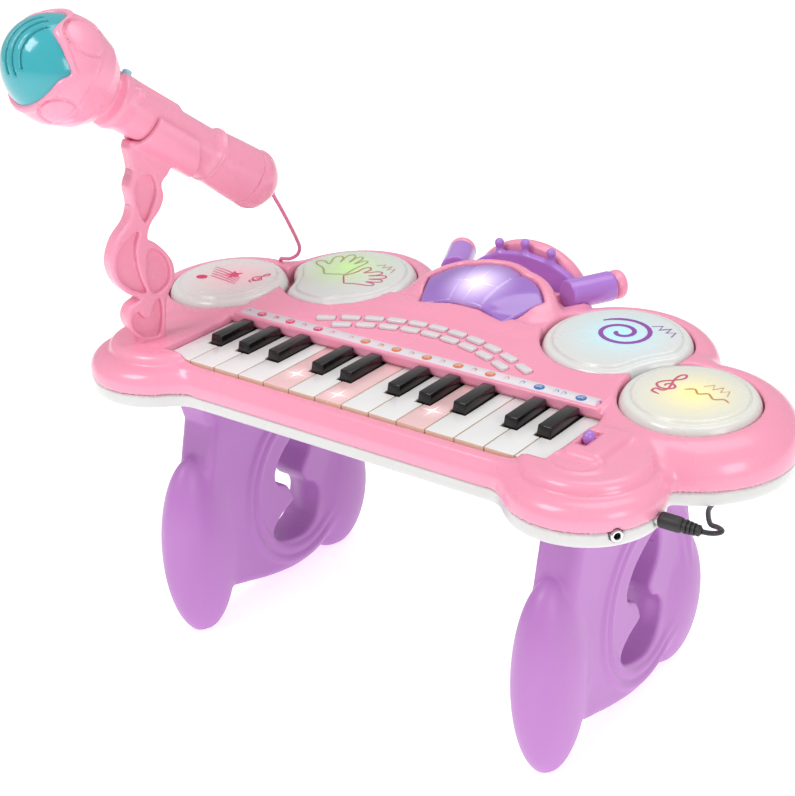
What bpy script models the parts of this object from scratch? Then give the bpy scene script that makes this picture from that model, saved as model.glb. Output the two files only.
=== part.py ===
"""Toy electronic keyboard on two legs, with drum pads, sound buttons and a microphone on a stand.

Every size below is in millimetres and is turned into metres by the helpers. Plan positions are
measured from the middle of the keyboard (x) and from the front edge of the white keys (y, going
back). Heights (z) are measured from the table. The empty DATUM puts the whole object so that its
origin is the bottom centre of its box.
"""
import math

import bmesh
import bpy
from mathutils import Matrix, Vector

MM = 0.001
GAP = 0.3                       # clearance between touching pieces

# ---- driving dimensions -------------------------------------------------------------------------
KEY_FRONT_Y = -79.67            # the white keys' front edge, from the object's origin
KEY_PITCH = 20.0
WHITE_KEYS = 14
KEY_TOP_Z = 205.6
KEY_THICKNESS = 8.0
KEY_REAR_Y = 74.0
KEY_HINGE_Y = 77.0
KEY_HINGE_Z = 200.0
PANEL_FRONT_Y = 61.5            # wall that the keys pass under
SPLIT_Z = 188.0                 # where the upper and the lower case meet
BASE_Z = 178.0                  # underside of the lower case
DECK_Z = 201.5
WALL = 3.2
HOLLOW_FLOOR_Z = 120.0          # cutters for the case's hollow start below everything

FRONT_LOBE = dict(x=157.0, y=12.0, r=45.5)
OUTER_DRUM = dict(x=175.0, y=98.8, r=63.0, pad_r=40.7, pad_z=218.0, tilt_out=1.3, tilt_front=3.5)
INNER_DRUM = dict(x=103.7, y=141.6, r=63.0, pad_r=46.5, pad_z=221.2, tilt_out=0.8, tilt_front=3.8)
REAR_HUB = dict(x=0.0, y=150.0, r=75.0)

LEG_X = 137.65
LEG_HALF = 14.3
FOOT_HALF = 20.0

STAND_FOOT = Vector((-160.0, 5.0, 210.0))
STAND_TURN = math.radians(15.0)     # the stand and the microphone turn outwards in plan
MIC_RISE = math.radians(36.3)
MIC_TAIL = Vector((-84.0, 298.4))   # centre of the tail bulb: along the stand's plane, and height

AUX_CORD_D = 2.8
MIC_CORD_D = 2.5

PINK = (0.94, 0.42, 0.55)
WHITE = (0.86, 0.86, 0.84)
PURPLE = (0.52, 0.27, 0.66)
DEEP_PURPLE = (0.40, 0.22, 0.66)
TEAL = (0.10, 0.60, 0.64)
BLACK = (0.02, 0.02, 0.02)
STEEL = (0.72, 0.72, 0.74)
GREEN = (0.06, 0.30, 0.14)
LIGHT_BLUE = (0.45, 0.78, 0.85)


# ---- scene helpers ------------------------------------------------------------------------------
def clear_scene():
    for obj in list(bpy.data.objects):
        bpy.data.objects.remove(obj, do_unlink=True)


def new_collection(name):
    collection = bpy.data.collections.new(name)
    bpy.context.scene.collection.children.link(collection)
    return collection


def make_material(name, color, roughness, metallic=0.0):
    material = bpy.data.materials.new(name)
    material.use_nodes = True
    shader = material.node_tree.nodes["Principled BSDF"]
    shader.inputs["Base Color"].default_value = (*color, 1.0)
    shader.inputs["Roughness"].default_value = roughness
    shader.inputs["Metallic"].default_value = metallic
    return material


def make_empty(name, place, rotation=None, parent=None):
    empty = bpy.data.objects.new(name, None)
    parts.objects.link(empty)
    matrix = Matrix.Translation(Vector(place) * MM)
    if rotation is not None:
        matrix = matrix @ rotation.to_4x4()
    empty.parent = parent
    empty.matrix_local = matrix
    return empty


def object_from_bmesh(bm, name, collection, parent):
    mesh = bpy.data.meshes.new(name)
    bm.to_mesh(mesh)
    bm.free()
    obj = bpy.data.objects.new(name, mesh)
    collection.objects.link(obj)
    obj.parent = parent
    return obj


def finish_part(obj, color, roughness=0.35, metallic=0.0, smooth_angle=35.0):
    """Give a part its own material and smooth shading."""
    obj.data.materials.clear()
    obj.data.materials.append(make_material(obj.name + "_finish", color, roughness, metallic))
    obj.data.shade_smooth()
    obj.data.set_sharp_from_angle(angle=math.radians(smooth_angle))
    return obj


def as_cutter(obj):
    obj.hide_render = True
    obj.display_type = "WIRE"
    return obj


def move_origin(obj, place):
    """Put an object's origin on its joint without moving its shape."""
    offset = Vector(place) * MM
    obj.data.transform(Matrix.Translation(-offset))
    obj.location = offset
    return obj


def add_boolean(obj, operation, operand):
    modifier = obj.modifiers.new(operation.lower(), "BOOLEAN")
    modifier.operation = operation
    modifier.solver = "EXACT"
    if isinstance(operand, bpy.types.Collection):
        modifier.operand_type = "COLLECTION"
        modifier.collection = operand
    else:
        modifier.object = operand
    return modifier


def add_bevel(obj, width, segments=2, angle=40.0):
    modifier = obj.modifiers.new("bevel", "BEVEL")
    modifier.width = width * MM
    modifier.segments = segments
    modifier.limit_method = "ANGLE"
    modifier.angle_limit = math.radians(angle)
    return modifier


def apply_modifiers(obj):
    """Replace an object's mesh with its evaluated mesh."""
    bpy.context.view_layer.update()
    depsgraph = bpy.context.evaluated_depsgraph_get()
    mesh = bpy.data.meshes.new_from_object(obj.evaluated_get(depsgraph))
    obj.modifiers.clear()
    obj.data = mesh
    return obj


# ---- shape helpers (all in millimetres) ---------------------------------------------------------
def box(name, low, high, collection=None, parent=None):
    bm = bmesh.new()
    size = [high[i] - low[i] for i in range(3)]
    middle = [(high[i] + low[i]) / 2 for i in range(3)]
    matrix = Matrix.Translation(Vector(middle) * MM) @ Matrix.Diagonal((*[s * MM for s in size], 1))
    bmesh.ops.create_cube(bm, size=1.0, matrix=matrix)
    return object_from_bmesh(bm, name, collection or parts, parent or DATUM)


def cylinder(name, start, end, radius, end_radius=None, sides=32, collection=None, parent=None):
    """Cylinder or cone between two points."""
    start, end = Vector(start), Vector(end)
    axis = end - start
    turn = axis.to_track_quat("Z", "Y").to_matrix().to_4x4()
    matrix = Matrix.Translation((start + end) / 2 * MM) @ turn
    bm = bmesh.new()
    top = radius if end_radius is None else end_radius
    bmesh.ops.create_cone(bm, cap_ends=True, segments=sides, radius1=radius * MM,
                          radius2=top * MM, depth=axis.length * MM, matrix=matrix)
    return object_from_bmesh(bm, name, collection or parts, parent or DATUM)


def ellipsoid(name, middle, radii, around=28, rings=16, collection=None, parent=None):
    bm = bmesh.new()
    matrix = Matrix.Translation(Vector(middle) * MM) @ Matrix.Diagonal((*[r * MM for r in radii], 1))
    bmesh.ops.create_uvsphere(bm, u_segments=around, v_segments=rings, radius=1.0, matrix=matrix)
    return object_from_bmesh(bm, name, collection or parts, parent or DATUM)


def turned(name, profile, middle=(0, 0, 0), sides=40, collection=None, parent=None):
    """Turn a profile of (radius, height) points, listed from the top to the bottom, about +Z."""
    bm = bmesh.new()
    points = [bm.verts.new((r * MM, 0, z * MM)) for r, z in profile]
    for first, second in zip(points, points[1:]):
        bm.edges.new((first, second))
    obj = object_from_bmesh(bm, name, collection or parts, parent or DATUM)
    screw = obj.modifiers.new("screw", "SCREW")
    screw.axis = "Z"
    screw.steps = sides
    screw.render_steps = sides
    screw.use_merge_vertices = True
    screw.merge_threshold = 0.00001
    apply_modifiers(obj)
    weld(obj.data)
    obj.data.transform(Matrix.Translation(Vector(middle) * MM))
    return obj


def weld(mesh):
    bm = bmesh.new()
    bm.from_mesh(mesh)
    bmesh.ops.remove_doubles(bm, verts=bm.verts, dist=0.000001)
    bm.to_mesh(mesh)
    bm.free()


def smooth_loop(points, per_span=4):
    """Closed smooth outline through the given points (Catmull-Rom)."""
    count = len(points)
    outline = []
    for i in range(count):
        a, b, c, d = (Vector(points[(i + k - 1) % count]) for k in range(4))
        for j in range(per_span):
            t = j / per_span
            outline.append(0.5 * (2 * b + (c - a) * t + (2 * a - 5 * b + 4 * c - d) * t * t
                                  + (3 * b - a - 3 * c + d) * t ** 3))
    return outline


def smooth_path(points, step):
    """Open smooth route through the given points, with a point about every `step` millimetres."""
    ends = [2 * Vector(points[0]) - Vector(points[1])]
    ends += [Vector(p) for p in points]
    ends.append(2 * Vector(points[-1]) - Vector(points[-2]))
    route = []
    for i in range(1, len(ends) - 2):
        a, b, c, d = ends[i - 1:i + 3]
        pieces = max(1, round((c - b).length / step))
        for j in range(pieces):
            t = j / pieces
            route.append(0.5 * (2 * b + (c - a) * t + (2 * a - 5 * b + 4 * c - d) * t * t
                                + (3 * b - a - 3 * c + d) * t ** 3))
    route.append(ends[-2])
    return route


def prism(name, outline, low, high, matrix=None, collection=None, parent=None):
    """Extrude a closed flat outline along local Z from low to high, as a filled 2D curve."""
    curve = bpy.data.curves.new(name, "CURVE")
    curve.dimensions = "2D"
    curve.fill_mode = "BOTH"
    curve.extrude = (high - low) / 2 * MM
    spline = curve.splines.new("POLY")
    spline.points.add(len(outline) - 1)
    for point, place in zip(spline.points, outline):
        point.co = (place[0] * MM, place[1] * MM, 0, 1)
    spline.use_cyclic_u = True
    guide = bpy.data.objects.new(name + "_outline", curve)
    parts.objects.link(guide)
    bpy.context.view_layer.update()
    depsgraph = bpy.context.evaluated_depsgraph_get()
    mesh = bpy.data.meshes.new_from_object(guide.evaluated_get(depsgraph))
    bpy.data.objects.remove(guide)
    mesh.name = name
    weld(mesh)
    mesh.transform(Matrix.Translation((0, 0, (high + low) / 2 * MM)))
    if matrix is not None:
        mesh.transform(matrix)
    obj = bpy.data.objects.new(name, mesh)
    (collection or parts).objects.link(obj)
    obj.parent = parent or DATUM
    return obj


def tube(name, route, diameter):
    curve = bpy.data.curves.new(name, "CURVE")
    curve.dimensions = "3D"
    curve.bevel_depth = diameter / 2 * MM
    curve.bevel_resolution = 2
    curve.use_fill_caps = True
    spline = curve.splines.new("POLY")
    spline.points.add(len(route) - 1)
    for point, place in zip(spline.points, route):
        point.co = (*(place * MM), 1)
    obj = bpy.data.objects.new(name, curve)
    parts.objects.link(obj)
    obj.parent = DATUM
    return obj


def plane_matrix(origin, x_axis, y_axis):
    """Frame whose local Z is the normal of a flat outline."""
    z_axis = Vector(x_axis).cross(Vector(y_axis))
    turn = Matrix((x_axis, y_axis, z_axis)).transposed()
    return Matrix.Translation(Vector(origin) * MM) @ turn.to_4x4()


ACROSS = plane_matrix((0, 0, 0), (0, 1, 0), (0, 0, 1))      # outline in (y, z), extruded along +x


# ---- case ---------------------------------------------------------------------------------------
def body_lobes():
    """The round bulges that make the plan of the case, both sides."""
    lobes = [REAR_HUB]
    for lobe in (FRONT_LOBE, OUTER_DRUM, INNER_DRUM):
        for side in (-1, 1):
            lobes.append({**lobe, "x": side * lobe["x"]})
    return lobes


def pad_frame(drum, side):
    """Frame at the middle of a pad's top, tilted as the pad is."""
    turn_x = Matrix.Rotation(math.radians(drum["tilt_front"]), 3, "X")
    turn_y = Matrix.Rotation(math.radians(side * drum["tilt_out"]), 3, "Y")
    return (side * drum["x"], drum["y"], drum["pad_z"]), turn_y @ turn_x


def panel_surface(y):
    """Height of the sloping control panel."""
    return 213.0 + (y - PANEL_FRONT_Y) * 0.14


def button_places(count, half_width, y_middle, y_drop):
    """Centres and turns of one curved row of buttons."""
    places = []
    for i in range(count):
        x = half_width * (2 * i / (count - 1) - 1)
        y = y_middle - y_drop * (x / half_width) ** 2
        turn = math.atan(-2 * y_drop * x / half_width ** 2)
        places.append((x, y, turn))
    return places


BUTTON_ROWS = {
    "rear_sound_buttons": button_places(11, 75.0, 100.0, 19.0),
    "front_sound_buttons": button_places(9, 60.0, 91.5, 13.5),
}
BUTTON_SIZE = (12.6, 5.6)


def button_blocks(name, places, grow, low_z, top_lift, collection):
    """One block for each button of a row, in one mesh."""
    bm = bmesh.new()
    for x, y, turn in places:
        top = panel_surface(y) + top_lift
        size = Vector((BUTTON_SIZE[0] + 2 * grow, BUTTON_SIZE[1] + 2 * grow, top - low_z)) * MM
        matrix = (Matrix.Translation(Vector((x, y, (top + low_z) / 2)) * MM)
                  @ Matrix.Rotation(turn, 4, "Z") @ Matrix.Diagonal((*size, 1)))
        bmesh.ops.create_cube(bm, size=1.0, matrix=matrix)
    return object_from_bmesh(bm, name, collection, DATUM)


def light_window_outline(grow=0.0):
    """Fan shape of the light window in plan."""
    front, middle, rear, half_front, half_rear = 124.0, 131.0, 178.0, 31.0, 45.0
    return [(-half_front - grow, front - grow), (0, middle - grow), (half_front + grow, front - grow),
            (half_rear + grow, 160.0), (34.0 + grow, 172.0 + grow), (18.0, rear + grow),
            (0, rear + 2.0 + grow), (-18.0, rear + grow), (-34.0 - grow, 172.0 + grow),
            (-half_rear - grow, 160.0)]


HUMP = dict(middle=(0, 165, 198), radii=(60, 48, 40))
WING_START = Vector((44, 182, 223))
WING_END = Vector((59, 212, 223))
WING_R = 10.0
CROWN_Y = (197.5, 204.5)


def make_upper_case():
    joined = new_collection("upper_case_joins")
    cuts = new_collection("upper_case_cuts")
    slab = box("upper_case", (-160, -12, SPLIT_Z), (160, 170, DECK_Z))
    add_bevel(slab, 7.0, 3)
    base = box("skirt", (-150, -11.9, SPLIT_Z), (150, 150, SPLIT_Z + 7.5), joined)
    as_cutter(base)
    for side in (-1, 1):
        as_cutter(turned("front_lobe", [(0, 211), (20, 211), (30, 208), (38, 203), (43.5, 196),
                                        (45.5, 190.5), (45.5, SPLIT_Z), (0, SPLIT_Z)],
                         (side * FRONT_LOBE["x"], FRONT_LOBE["y"], 0), 32, joined))
        as_cutter(turned("outer_drum", [(0, 213), (44, 213), (50, 211.5), (56, 207), (61, 199),
                                        (63, 191), (63, SPLIT_Z), (0, SPLIT_Z)],
                         (side * OUTER_DRUM["x"], OUTER_DRUM["y"], 0), 36, joined))
        as_cutter(turned("inner_drum", [(0, 216), (50, 216), (55, 214), (60, 206), (63, 197),
                                        (63, SPLIT_Z), (0, SPLIT_Z)],
                         (side * INNER_DRUM["x"], INNER_DRUM["y"], 0), 36, joined))
        as_cutter(box("key_cheek", (side * 154 - 13, -4, SPLIT_Z + 1), (side * 154 + 13, 62, 208.5), joined))
    as_cutter(box("switch_bracket", (143, 6, 200), (165, 46, 213.5), joined))
    as_cutter(turned("rear_hub", [(0, 206), (60, 206), (70, 202), (75, 194), (75, SPLIT_Z), (0, SPLIT_Z)],
                     (0, REAR_HUB["y"], 0), 36, joined))
    panel = [(PANEL_FRONT_Y, SPLIT_Z + 2), (PANEL_FRONT_Y, 211.5), (PANEL_FRONT_Y + 1.5, 213),
             (128, panel_surface(128)), (128, SPLIT_Z + 2)]
    as_cutter(prism("control_panel", panel, -137, 137, ACROSS, joined))
    as_cutter(box("rear_deck", (-66, 120, SPLIT_Z + 2), (66, 196, panel_surface(120)), joined))
    as_cutter(ellipsoid("window_hump", HUMP["middle"], HUMP["radii"], 28, 14, joined))
    as_cutter(ellipsoid("rear_dome", (0, 210, 204), (46, 17, 40), 20, 12, joined))

    # hollow inside, open downwards
    for lobe in body_lobes():
        inner = lobe["r"] - WALL
        as_cutter(cylinder("lobe_hollow", (lobe["x"], lobe["y"], HOLLOW_FLOOR_Z),
                           (lobe["x"], lobe["y"], 202 if lobe is not REAR_HUB else 200),
                           inner, inner - 9, 24, cuts))
    as_cutter(box("below_split", (-260, -60, HOLLOW_FLOOR_Z), (260, 260, SPLIT_Z), cuts))
    as_cutter(box("slab_hollow", (-158, -7.5, HOLLOW_FLOOR_Z), (158, 168, 198), cuts))
    as_cutter(box("panel_hollow", (-128, PANEL_FRONT_Y + 3.5, HOLLOW_FLOOR_Z), (128, 124, 209), cuts))
    radii = [r - WALL for r in HUMP["radii"]]
    as_cutter(ellipsoid("hump_hollow", HUMP["middle"], radii, 20, 10, cuts))
    as_cutter(box("key_well", (-140.6, -0.6, HOLLOW_FLOOR_Z), (140.6, PANEL_FRONT_Y, 240), cuts))
    as_cutter(box("key_tail_well", (-140.6, PANEL_FRONT_Y - 1, HOLLOW_FLOOR_Z), (140.6, 84, 206.3), cuts))
    for side in (-1, 1):
        for drum in (OUTER_DRUM, INNER_DRUM):
            place, turn = pad_frame(drum, side)
            seat = make_empty("seat", place, turn, DATUM)
            as_cutter(cylinder("pad_recess", (0, 0, -11.5), (0, 0, 30), drum["pad_r"] + 0.6,
                               None, 36, cuts, seat))
    outline = smooth_loop(light_window_outline(GAP), 1)
    as_cutter(prism("window_opening", outline, 180, 260, None, cuts))
    for name, places in BUTTON_ROWS.items():
        as_cutter(button_blocks(name + "_holes", places, 0.4, 200, 20, cuts))
    strip = plane_matrix((0, 0, 0), (1, 0, 0), (0, 1, 0))
    as_cutter(prism("label_recess", label_outline(GAP), -1.1, 6, label_frame() @ strip, cuts))
    as_cutter(box("crown_slot", (-52, CROWN_Y[0] - GAP, 206.5), (52, CROWN_Y[1] + GAP, 260), cuts))
    for side in (-1, 1):
        start, end = mirrored(WING_START, side), mirrored(WING_END, side)
        along = (end - start).normalized()
        as_cutter(cylinder("wing_room", start - along * 8, end + along * 12, WING_R + 0.6, None, 20, cuts))
        as_cutter(box("crown_room", (side * 52 - 14, CROWN_Y[0] - GAP, 214), (side * 52 + 14, CROWN_Y[1] + GAP, 260), cuts))
    as_cutter(box("switch_slot", (150.6 - 3.2, 17.5, 209), (150.6 + 3.2, 37.5, 230), cuts))
    for place, away in SOCKETS:
        as_cutter(cylinder("socket_hole", place - away * 30, place + away * 20, SOCKET_R + GAP, None, 24, cuts))
    as_cutter(cylinder("cord_hole", MIC_CORD_END - Vector((0, 0, 9)), MIC_CORD_END + Vector((0, 0, 12)),
                       MIC_CORD_D / 2 + GAP, None, 16, cuts))
    as_cutter(prism("stand_foot_socket", stand_foot_outline(1.0), -5.5 - GAP, 5.5 + GAP, stand_frame(), cuts))
    add_boolean(slab, "UNION", joined)
    add_boolean(slab, "DIFFERENCE", cuts)
    apply_modifiers(slab)
    return finish_part(slab, PINK, 0.3)


def mirrored(point, side):
    return Vector((side * point[0], point[1], point[2]))


def make_lower_case():
    joined = new_collection("lower_case_joins")
    cuts = new_collection("lower_case_cuts")
    top = SPLIT_Z - GAP
    tray = box("lower_case", (-158, -10.5, BASE_Z), (158, 168, top))
    for lobe in body_lobes():
        as_cutter(cylinder("lobe", (lobe["x"], lobe["y"], BASE_Z), (lobe["x"], lobe["y"], top),
                           lobe["r"] - 2.0, lobe["r"] - 0.4, 36, joined))
        as_cutter(cylinder("lobe_hollow", (lobe["x"], lobe["y"], BASE_Z + 2.6), (lobe["x"], lobe["y"], 200),
                           lobe["r"] - 6.5, lobe["r"] - 4.5, 24, cuts))
    as_cutter(box("tray_hollow", (-155, -7.5, BASE_Z + 2.6), (155, 165, 200), cuts))
    as_cutter(box("battery_door_hole", (-45.3, 99.7, 170), (45.3, 160.3, 190), cuts))
    for side in (-1, 1):
        as_cutter(box("leg_socket", (side * LEG_X - 6.3, 39.7, 170), (side * LEG_X + 6.3, 120.3, 190), cuts))
    for slot in range(5):
        y = 118 + 8 * slot
        as_cutter(box("sound_slot", (-110, y, 170), (-80, y + 3, 190), cuts))
    for place in SCREW_PLACES:
        as_cutter(cylinder("screw_hole", (*place, 170), (*place, 190), 3.4, None, 16, cuts))
    for place, away in SOCKETS:
        as_cutter(cylinder("socket_hole", place - away * 30, place + away * 20, SOCKET_R + GAP, None, 24, cuts))
    add_boolean(tray, "UNION", joined)
    add_boolean(tray, "DIFFERENCE", cuts)
    apply_modifiers(tray)
    return finish_part(tray, WHITE, 0.35)


SCREW_PLACES = [(-150.0, -10.0), (150.0, -10.0)]


def make_case_fittings():
    door = box("battery_cover", (-45, 100, BASE_Z), (45, 160, BASE_Z + 2.2))
    finish_part(door, WHITE, 0.4)
    cells = box("battery_box", (-43, 102, BASE_Z + 2.5), (43, 158, BASE_Z + 18))
    add_bevel(cells, 2.0, 2)
    finish_part(cells, BLACK, 0.5)
    for i, (x, y) in enumerate(SCREW_PLACES, 1):
        screw = turned(f"case_screw_{i}", [(0, 187.5), (1.6, 187.5), (1.6, 181), (3.0, 181), (3.0, 178.6), (0, 178.6)],
                       (x, y, 0), 12)
        finish_part(screw, STEEL, 0.3, 1.0)


# ---- keys ---------------------------------------------------------------------------------------
BLACK_GROUPS = {1: -3.8, 2: -0.8, 3: 3.8, 5: -1.2, 6: 0.8, 8: -3.3, 9: -0.8, 10: 3.8, 12: -1.2, 13: 0.8}
BLACK_WIDTH = 10.6
BLACK_FRONT_Y = 27.5
KEY_SIDE_GAP = 0.3


def key_line_x(index):
    """x of the line between white key `index` and the next one."""
    return (index - WHITE_KEYS / 2) * KEY_PITCH


def black_key_x(index):
    return key_line_x(index) + BLACK_GROUPS[index]


def make_white_keys():
    for index in range(WHITE_KEYS):
        left, right = key_line_x(index) + KEY_SIDE_GAP, key_line_x(index + 1) - KEY_SIDE_GAP
        room = BLACK_WIDTH / 2 + 0.5
        rear_left = black_key_x(index) + room if index in BLACK_GROUPS else left
        rear_right = black_key_x(index + 1) - room if index + 1 in BLACK_GROUPS else right
        notch_y = BLACK_FRONT_Y - 0.8
        outline = [(left, 0.8), (left + 0.8, 0), (right - 0.8, 0), (right, 0.8)]
        if rear_right < right:
            outline += [(right, notch_y), (rear_right, notch_y)]
        outline += [(rear_right, KEY_REAR_Y), (rear_left, KEY_REAR_Y)]
        if rear_left > left:
            outline += [(rear_left, notch_y), (left, notch_y)]
        key = prism(f"white_key_{index + 1:02d}", outline, KEY_TOP_Z - KEY_THICKNESS, KEY_TOP_Z)
        move_origin(key, ((left + right) / 2, KEY_HINGE_Y, KEY_HINGE_Z))
        finish_part(key, WHITE, 0.2)


def make_black_keys():
    for number, index in enumerate(sorted(BLACK_GROUPS), 1):
        middle = black_key_x(index)
        profile = [(BLACK_FRONT_Y, KEY_TOP_Z - KEY_THICKNESS), (BLACK_FRONT_Y, KEY_TOP_Z + 0.4),
                   (BLACK_FRONT_Y + 1.8, KEY_TOP_Z + 5.8), (PANEL_FRONT_Y - 0.7, KEY_TOP_Z + 5.8),
                   (PANEL_FRONT_Y - 0.7, KEY_TOP_Z - 0.2), (KEY_REAR_Y, KEY_TOP_Z - 0.2),
                   (KEY_REAR_Y, KEY_TOP_Z - KEY_THICKNESS)]
        half = BLACK_WIDTH / 2
        key = prism(f"black_key_{number:02d}", profile, -half, half, ACROSS)
        for vertex in key.data.vertices:
            if vertex.co.z > (KEY_TOP_Z + 1) * MM:
                vertex.co.x *= 0.8
        key.data.transform(Matrix.Translation((middle * MM, 0, 0)))
        move_origin(key, (middle, KEY_HINGE_Y, KEY_HINGE_Z))
        finish_part(key, BLACK, 0.15)


def make_key_bed():
    bed = box("key_bed", (-139, 3, 189.5), (139, 82, 191.5))
    upstand = new_collection("key_bed_joins")
    as_cutter(box("hinge_rail", (-139, 78.5, 190), (139, 82, 205), upstand))
    add_boolean(bed, "UNION", upstand)
    apply_modifiers(bed)
    finish_part(bed, WHITE, 0.5)
    strip = box("key_contact_strip", (-138, 30, 191.8), (138, 40, 195.0))
    add_bevel(strip, 1.0, 1)
    finish_part(strip, (0.35, 0.35, 0.36), 0.7)
    board = box("circuit_board", (-110, 14, 184.5), (110, 92, 186.1))
    finish_part(board, GREEN, 0.4)
    speaker = turned("speaker", [(0, 197), (12, 197), (12, 193), (20, 188), (26, 186), (26, 182), (0, 182)],
                     (-95, 134, 0), 32)
    finish_part(speaker, BLACK, 0.5)


# ---- pads, buttons, switch, label ---------------------------------------------------------------
def make_pads():
    for number, (drum, side) in enumerate(((OUTER_DRUM, -1), (INNER_DRUM, -1), (INNER_DRUM, 1),
                                           (OUTER_DRUM, 1)), 1):
        place, turn = pad_frame(drum, side)
        frame = make_empty(f"pad_{number}_axis", place, turn, DATUM)
        r = drum["pad_r"]
        profile = [(0, 1.6), (r * 0.4, 1.3), (r * 0.75, 0.1), (r * 0.92, -1.6), (r - 0.8, -3.0),
                   (r, -4.6), (r, -9.0), (0, -9.0)]
        pad = turned(f"drum_pad_{number}", profile, (0, 0, 0), 36, None, frame)
        if drum is INNER_DRUM:
            bite = new_collection(f"drum_pad_{number}_bite")
            cutter = cylinder("bite", (side * OUTER_DRUM["x"], OUTER_DRUM["y"], 190),
                              (side * OUTER_DRUM["x"], OUTER_DRUM["y"], 240),
                              OUTER_DRUM["pad_r"] + 3.6, None, 40, bite)
            add_boolean(pad, "DIFFERENCE", as_cutter(cutter))
            apply_modifiers(pad)
        finish_part(pad, WHITE, 0.25)


def make_buttons():
    for name, places in BUTTON_ROWS.items():
        blocks = new_collection(name + "_tops")
        middle = len(places) // 2
        web = []
        for reach in (2.3, -2.3):
            row = places if reach > 0 else places[::-1]
            web += [(x, y + reach) for x, y, _ in row]
        comb = prism(name, web, 206.8, 208.4)
        as_cutter(button_blocks(name + "_blocks", places, 0.0, 207.2, 1.4, blocks))
        add_boolean(comb, "UNION", blocks)
        apply_modifiers(comb)
        move_origin(comb, (places[middle][0], places[middle][1], 203))
        finish_part(comb, WHITE, 0.3)


def label_frame():
    """Frame on the sloping panel, just behind its front edge."""
    slope = math.atan(0.14)
    place = Matrix.Translation(Vector((0, 67.6, panel_surface(67.6))) * MM)
    return place @ Matrix.Rotation(slope, 4, "X")


def label_outline(grow=0.0):
    half_x, half_y = 133.0 + grow, 4.1 + grow
    return [(-half_x, -half_y), (half_x, -half_y), (half_x, half_y), (-half_x, half_y)]


def make_label_and_switch():
    label = prism("label_strip", label_outline(), -0.8, 0.15, label_frame())
    finish_part(label, WHITE, 0.4)
    knob = box("power_switch", (150.6 - 2.8, 23.5, 209.6), (150.6 + 2.8, 31.5, 217.2))
    add_bevel(knob, 1.6, 3)
    apply_modifiers(knob)
    move_origin(knob, (150.6, 27.5, 213))
    finish_part(knob, PURPLE, 0.2)


# ---- light window and crown ---------------------------------------------------------------------
def make_window_and_crown():
    lens = ellipsoid("light_window", HUMP["middle"], [r + 0.2 for r in HUMP["radii"]], 28, 14)
    shape = new_collection("light_window_shape")
    inner = ellipsoid("inner", HUMP["middle"], [r - 2.6 for r in HUMP["radii"]], 28, 14, shape)
    keep = prism("fan", smooth_loop(light_window_outline(), 1), 205, 260, None, shape)
    add_boolean(lens, "INTERSECT", as_cutter(keep))
    add_boolean(lens, "DIFFERENCE", as_cutter(inner))
    apply_modifiers(lens)
    finish_part(lens, DEEP_PURPLE, 0.1)

    arch = []
    for i in range(15):
        angle = math.pi * i / 14
        arch.append((47 * math.cos(angle), 209 + 31 * math.sin(angle)))
    upright = plane_matrix((0, 0, 0), (1, 0, 0), (0, 0, 1))
    crown = prism("crown", arch, -CROWN_Y[1], -CROWN_Y[0], upright)
    joins = new_collection("crown_joins")
    for x, z in ((-20.3, 240), (0, 243.5), (20.3, 240)):
        as_cutter(cylinder("tip_neck", (x, 201, z - 10), (x, 201, z), 3.4, 2.4, 12, joins))
        as_cutter(ellipsoid("tip_ball", (x, 201, z + 1.5), (3.2, 3.2, 3.2), 10, 6, joins))
    for side in (-1, 1):
        as_cutter(cylinder("wing", mirrored(WING_START, side), mirrored(WING_END, side), WING_R, None, 20, joins))
    add_boolean(crown, "UNION", joins)
    apply_modifiers(crown)
    finish_part(crown, PURPLE, 0.25)
    along = (WING_END - WING_START).normalized()
    for side, name in ((-1, "left_wing_cap"), (1, "right_wing_cap")):
        start = mirrored(WING_END + along * GAP, side)
        end = mirrored(WING_END + along * 9, side)
        cap = cylinder(name, start, end, WING_R, WING_R - 3, 20)
        finish_part(cap, PINK, 0.3)


# ---- legs ---------------------------------------------------------------------------------------
LEG_OUTLINE = [(22, 177.7), (19, 150), (13, 125), (8, 100), (8, 60), (25, 28), (46, 19), (71, 12),
               (97, 8), (123, 11), (145, 25), (160, 60), (163, 85), (157, 110), (151, 140), (148, 177.7)]
LEG_CUTOUT = [(114, 116), (108, 117), (96, 111), (84, 102), (77, 91), (78, 83), (83, 80), (89, 76),
              (94, 66), (93, 62), (81, 57), (72, 49), (74, 41), (85, 35), (102, 32), (114, 37),
              (120, 48), (122, 59), (117, 67), (110, 71), (105, 80), (108, 87), (113, 94), (116, 105)]


def make_leg(name, side):
    middle = side * LEG_X
    leg = prism(name, LEG_OUTLINE, middle - LEG_HALF, middle + LEG_HALF, ACROSS)
    add_bevel(leg, 4.0, 2, 60)
    joins = new_collection(name + "_joins")
    cuts = new_collection(name + "_cuts")
    as_cutter(ellipsoid("front_foot", (middle, 11, 62), (FOOT_HALF, 29, 66), 16, 12, joins))
    as_cutter(ellipsoid("rear_foot", (middle, 152, 47), (FOOT_HALF, 34, 51), 16, 12, joins))
    as_cutter(box("tenon", (middle - 6, 40, 170), (middle + 6, 120, 184), joins))
    as_cutter(prism("cutout", smooth_loop(LEG_CUTOUT, 1), middle - 30, middle + 30, ACROSS, cuts))
    as_cutter(box("floor", (middle - 40, -40, -30), (middle + 40, 220, 0), cuts))
    add_boolean(leg, "UNION", joins)
    add_boolean(leg, "DIFFERENCE", cuts)
    apply_modifiers(leg)
    finish_part(leg, PURPLE, 0.45)


# ---- microphone and its stand -------------------------------------------------------------------
STAND_ALONG = Vector((-math.sin(STAND_TURN), -math.cos(STAND_TURN), 0))   # plan direction of the head
STAND_SIDE = Vector((math.cos(STAND_TURN), -math.sin(STAND_TURN), 0))     # normal of the stand's plane
UP = Vector((0, 0, 1))


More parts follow.
